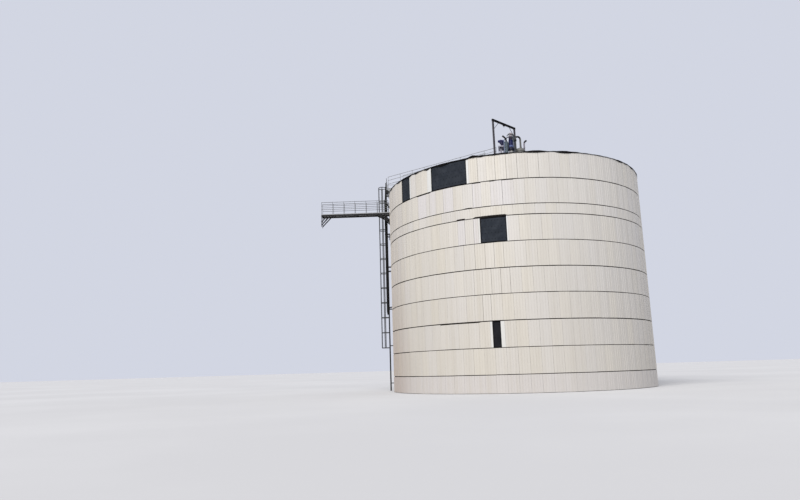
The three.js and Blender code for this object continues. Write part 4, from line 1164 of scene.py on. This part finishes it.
def pump_stand():
    """A table on four legs over a base block, with a back plate and two dosing bodies under it."""
    stand, bodies, x = Solids(LAVENDER), Solids(DEEP_NAVY), PUMP.x
    half_x, half_y = 0.225, 0.105
    stand.block((x - 0.1, 0.07, TABLE_LOW - 0.7), (x + 0.1, 0.09, TABLE_LOW + 0.01), 0.002)
    for leg_x in (x - half_x, x + half_x):
        for side in SIDES:
            foot = (leg_x, side * half_y, CROWN + 0.1)
            stand.bar(foot, (*foot[:2], TABLE_LOW + 0.01), 0.035, 0.035)
            stand.bolt((leg_x, side * 0.15, CROWN + 0.15))
        for tie_z in (CROWN + 0.4, TABLE_LOW - 0.6):
            stand.bar((leg_x, -half_y, tie_z), (leg_x, half_y, tie_z), 0.03, 0.03)
    stand.block((x - 0.26, -0.15, TABLE_LOW), (x + 0.26, 0.15, TABLE_TOP), 0.008)
    stand.block((x - 0.32, -0.18, CROWN + 0.001), (x + 0.26, 0.18, CROWN + 0.15), 0.006)
    for dx, radius, drop in ((-0.205, 0.075, 0.4), (0.17, 0.105, 0.36)):
        body = [(radius - 0.03, 0), (radius, 0.04), (radius, 0.33), (radius - 0.02, 0.36)]
        bodies.turned(body, (x + dx, -0.04, TABLE_LOW - drop), 20)
    make("pump_stand", stand, DRIVE)
    make("pump_dosing_bodies", bodies, DRIVE)


def valve_housing():
    grey, r, foot = Solids((0.7, 0.7, 0.7)), HOUSING_R, CROWN - HOUSING.z
    grey.turned([(r + 0.04, foot + 0.001), (r + 0.04, foot + 0.035), (r, foot + 0.04), (r, -0.1),
                 (r + 0.02, -0.095), (r + 0.02, -0.05), (r, -0.045), (r - 0.01, 0), (r - 0.05, 0.09),
                 (r - 0.13, 0.21), (0.2, 0.27), (0.06, 0.3)], HOUSING, 40)
    grey.bolt_ring(HOUSING + UP * (foot + 0.035), r + 0.02, 24, size=0.009)
    grey.bolt_ring(HOUSING - UP * 0.05, r + 0.008, 24, size=0.008)
    grey.ribs(HOUSING, r + 0.005, 4, foot + 0.05, -0.12, 0.04, 0.012, 0.5)
    make("valve_housing_body", grey, STONE, ["valve_housing"])


def vent_pipe():
    """A pipe up from the housing, whose dark tip bends over to the right."""
    vent, tip = Solids((0.95, 0.87, 1.1)), Solids()
    rise = [(0.44, -0.12), (0.44, 0.63), (0.445, 0.74), (0.475, 0.86)]
    bend = [(0.465, 0.83), (0.5, 0.91), (0.55, 0.97), (0.62, 1.02), (0.69, 1.06)]
    vent.tube([HOUSING + Vector((a, 0, b)) for a, b in rise], 0.073, 16, ACROSS)
    vent.collar(HOUSING + Vector((0.44, 0, 0.28)), 0.074, 0.095, 0.055, 0.01, 16)
    tip.tube([HOUSING + Vector((a, 0, b)) for a, b in bend], 0.085, 16, ACROSS)
    make("vent_pipe", vent, STONE)
    make("vent_tip", tip, JACKET)


def gas_loop():
    """A pipe that arches from the crown to the housing, darker on its far leg, with a valve at its foot."""
    pipe, up = Solids((0.66, 0.67, 0.66)), (0.6, -0.8, 0)
    foot, end = HOUSING + Vector((-0.506, -0.6, 0)), HOUSING + Vector((0.084, -0.04, 0))
    ground = Vector((foot.x, foot.y, CROWN))
    arch = [(0, 0.48), (0, 0.94), (0.024, 1.08), (0.112, 1.21), (0.28, 1.315), (0.5, 1.367), (0.69, 1.38),
            (0.852, 1.36), (0.96, 1.28), (1, 1.15), (1, 0.26)]
    path = [ground + UP * 0.02] + [foot.lerp(end, share) + UP * lift for share, lift in arch]
    pipe.tube(path[:10], GAS_R, 18, up, (0.18, 0.2, 0.23))
    pipe.tube(path[9:], GAS_R, 18, up)
    for place in (ground + UP * 0.04, end + UP * 0.3):
        pipe.flange(place, GAS_R, 0.12)
    valve = [(0.09, 0), (0.125, 0.01), (0.135, 0.04), (0.135, 0.16), (0.125, 0.19), (0.09, 0.2)]
    pipe.turned(valve, foot + UP * 0.8, 24, tint=(0.04, 0.05, 0.07))
    pad = Vector((0.145, 0.145, 0))
    pipe.block(ground - pad + UP * 0.001, ground + pad + UP * 0.04, 0.004)
    make("gas_loop", pipe, STONE, ["gas_loop_pipe"])


for build in (gantry_fittings, mixer_pedestal, mixer_gearbox, mixer_motor, mixer_rain_hood, centre_column,
              pump_unit, pump_stand, valve_housing, vent_pipe, gas_loop):
    build()

# CAD nodes whose shape is right get their finish
FINISHES = {"tank_floor": CONCRETE, "roof_crown": FELT, "gantry_post_near": GANTRY, "gantry_post_far": GANTRY,
            "gantry_beam": STEEL}
for i in range(1, 5):
    FINISHES[f"tank_wall_{i}"] = FOAM
    FINISHES[f"roof_sector_{i}"] = FELT
for node, material in FINISHES.items():
    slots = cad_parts[node].data.materials
    slots.clear()
    slots.append(material)


# Floor, light and camera

def stage_floor():
    mesh, r = bpy.data.meshes.new("floor"), FLOOR_REACH
    mesh.from_pydata([(-r, -r, 0), (r, -r, 0), (r, r, 0), (-r, r, 0)], [], [(0, 1, 2, 3)])
    s = Shader("pale_floor", 0.9, shine=0.2)
    s.colour(s.mottled(0.05, (0.37, 0.372, 0.38), (0.40, 0.403, 0.41)))
    mesh.materials.append(s.material)
    link("floor", mesh)


def studio_light():
    """An even sky and a wide, soft sun from the near left."""
    world = bpy.data.worlds.new("sky")
    world.use_nodes = True
    world.node_tree.nodes["Background"].inputs["Color"].default_value = (0.645, 0.672, 0.765, 1.0)
    bpy.context.scene.world = world
    lamp = bpy.data.lights.new("soft_sun", "SUN")
    lamp.energy = 5.6
    lamp.angle = radians(50)
    lamp.color = (1.0, 0.965, 0.92)
    towards = on_tank(cos(SUN_HEIGHT), SUN_BEARING, sin(SUN_HEIGHT))
    link("soft_sun", lamp).rotation_euler = towards.to_track_quat("Z", "Y").to_euler()


def camera():
    lens = bpy.data.cameras.new("camera")
    lens.lens = CAMERA_LENS
    lens.sensor_width = 36
    lens.clip_end = 3000
    turns = ((CAMERA_TURN, "Z"), (pi / 2 + CAMERA_PITCH, "X"), (CAMERA_ROLL, "Z"))
    turn, pitch, roll = [Matrix.Rotation(angle, 4, axis) for angle, axis in turns]
    view = link("camera", lens)
    view.matrix_world = Matrix.Translation(CAMERA_PLACE) @ turn @ pitch @ roll
    bpy.context.scene.camera = view


stage_floor()
studio_light()
camera()
bpy.context.scene.view_settings.view_transform = "Standard"

bpy.context.view_layer.update()
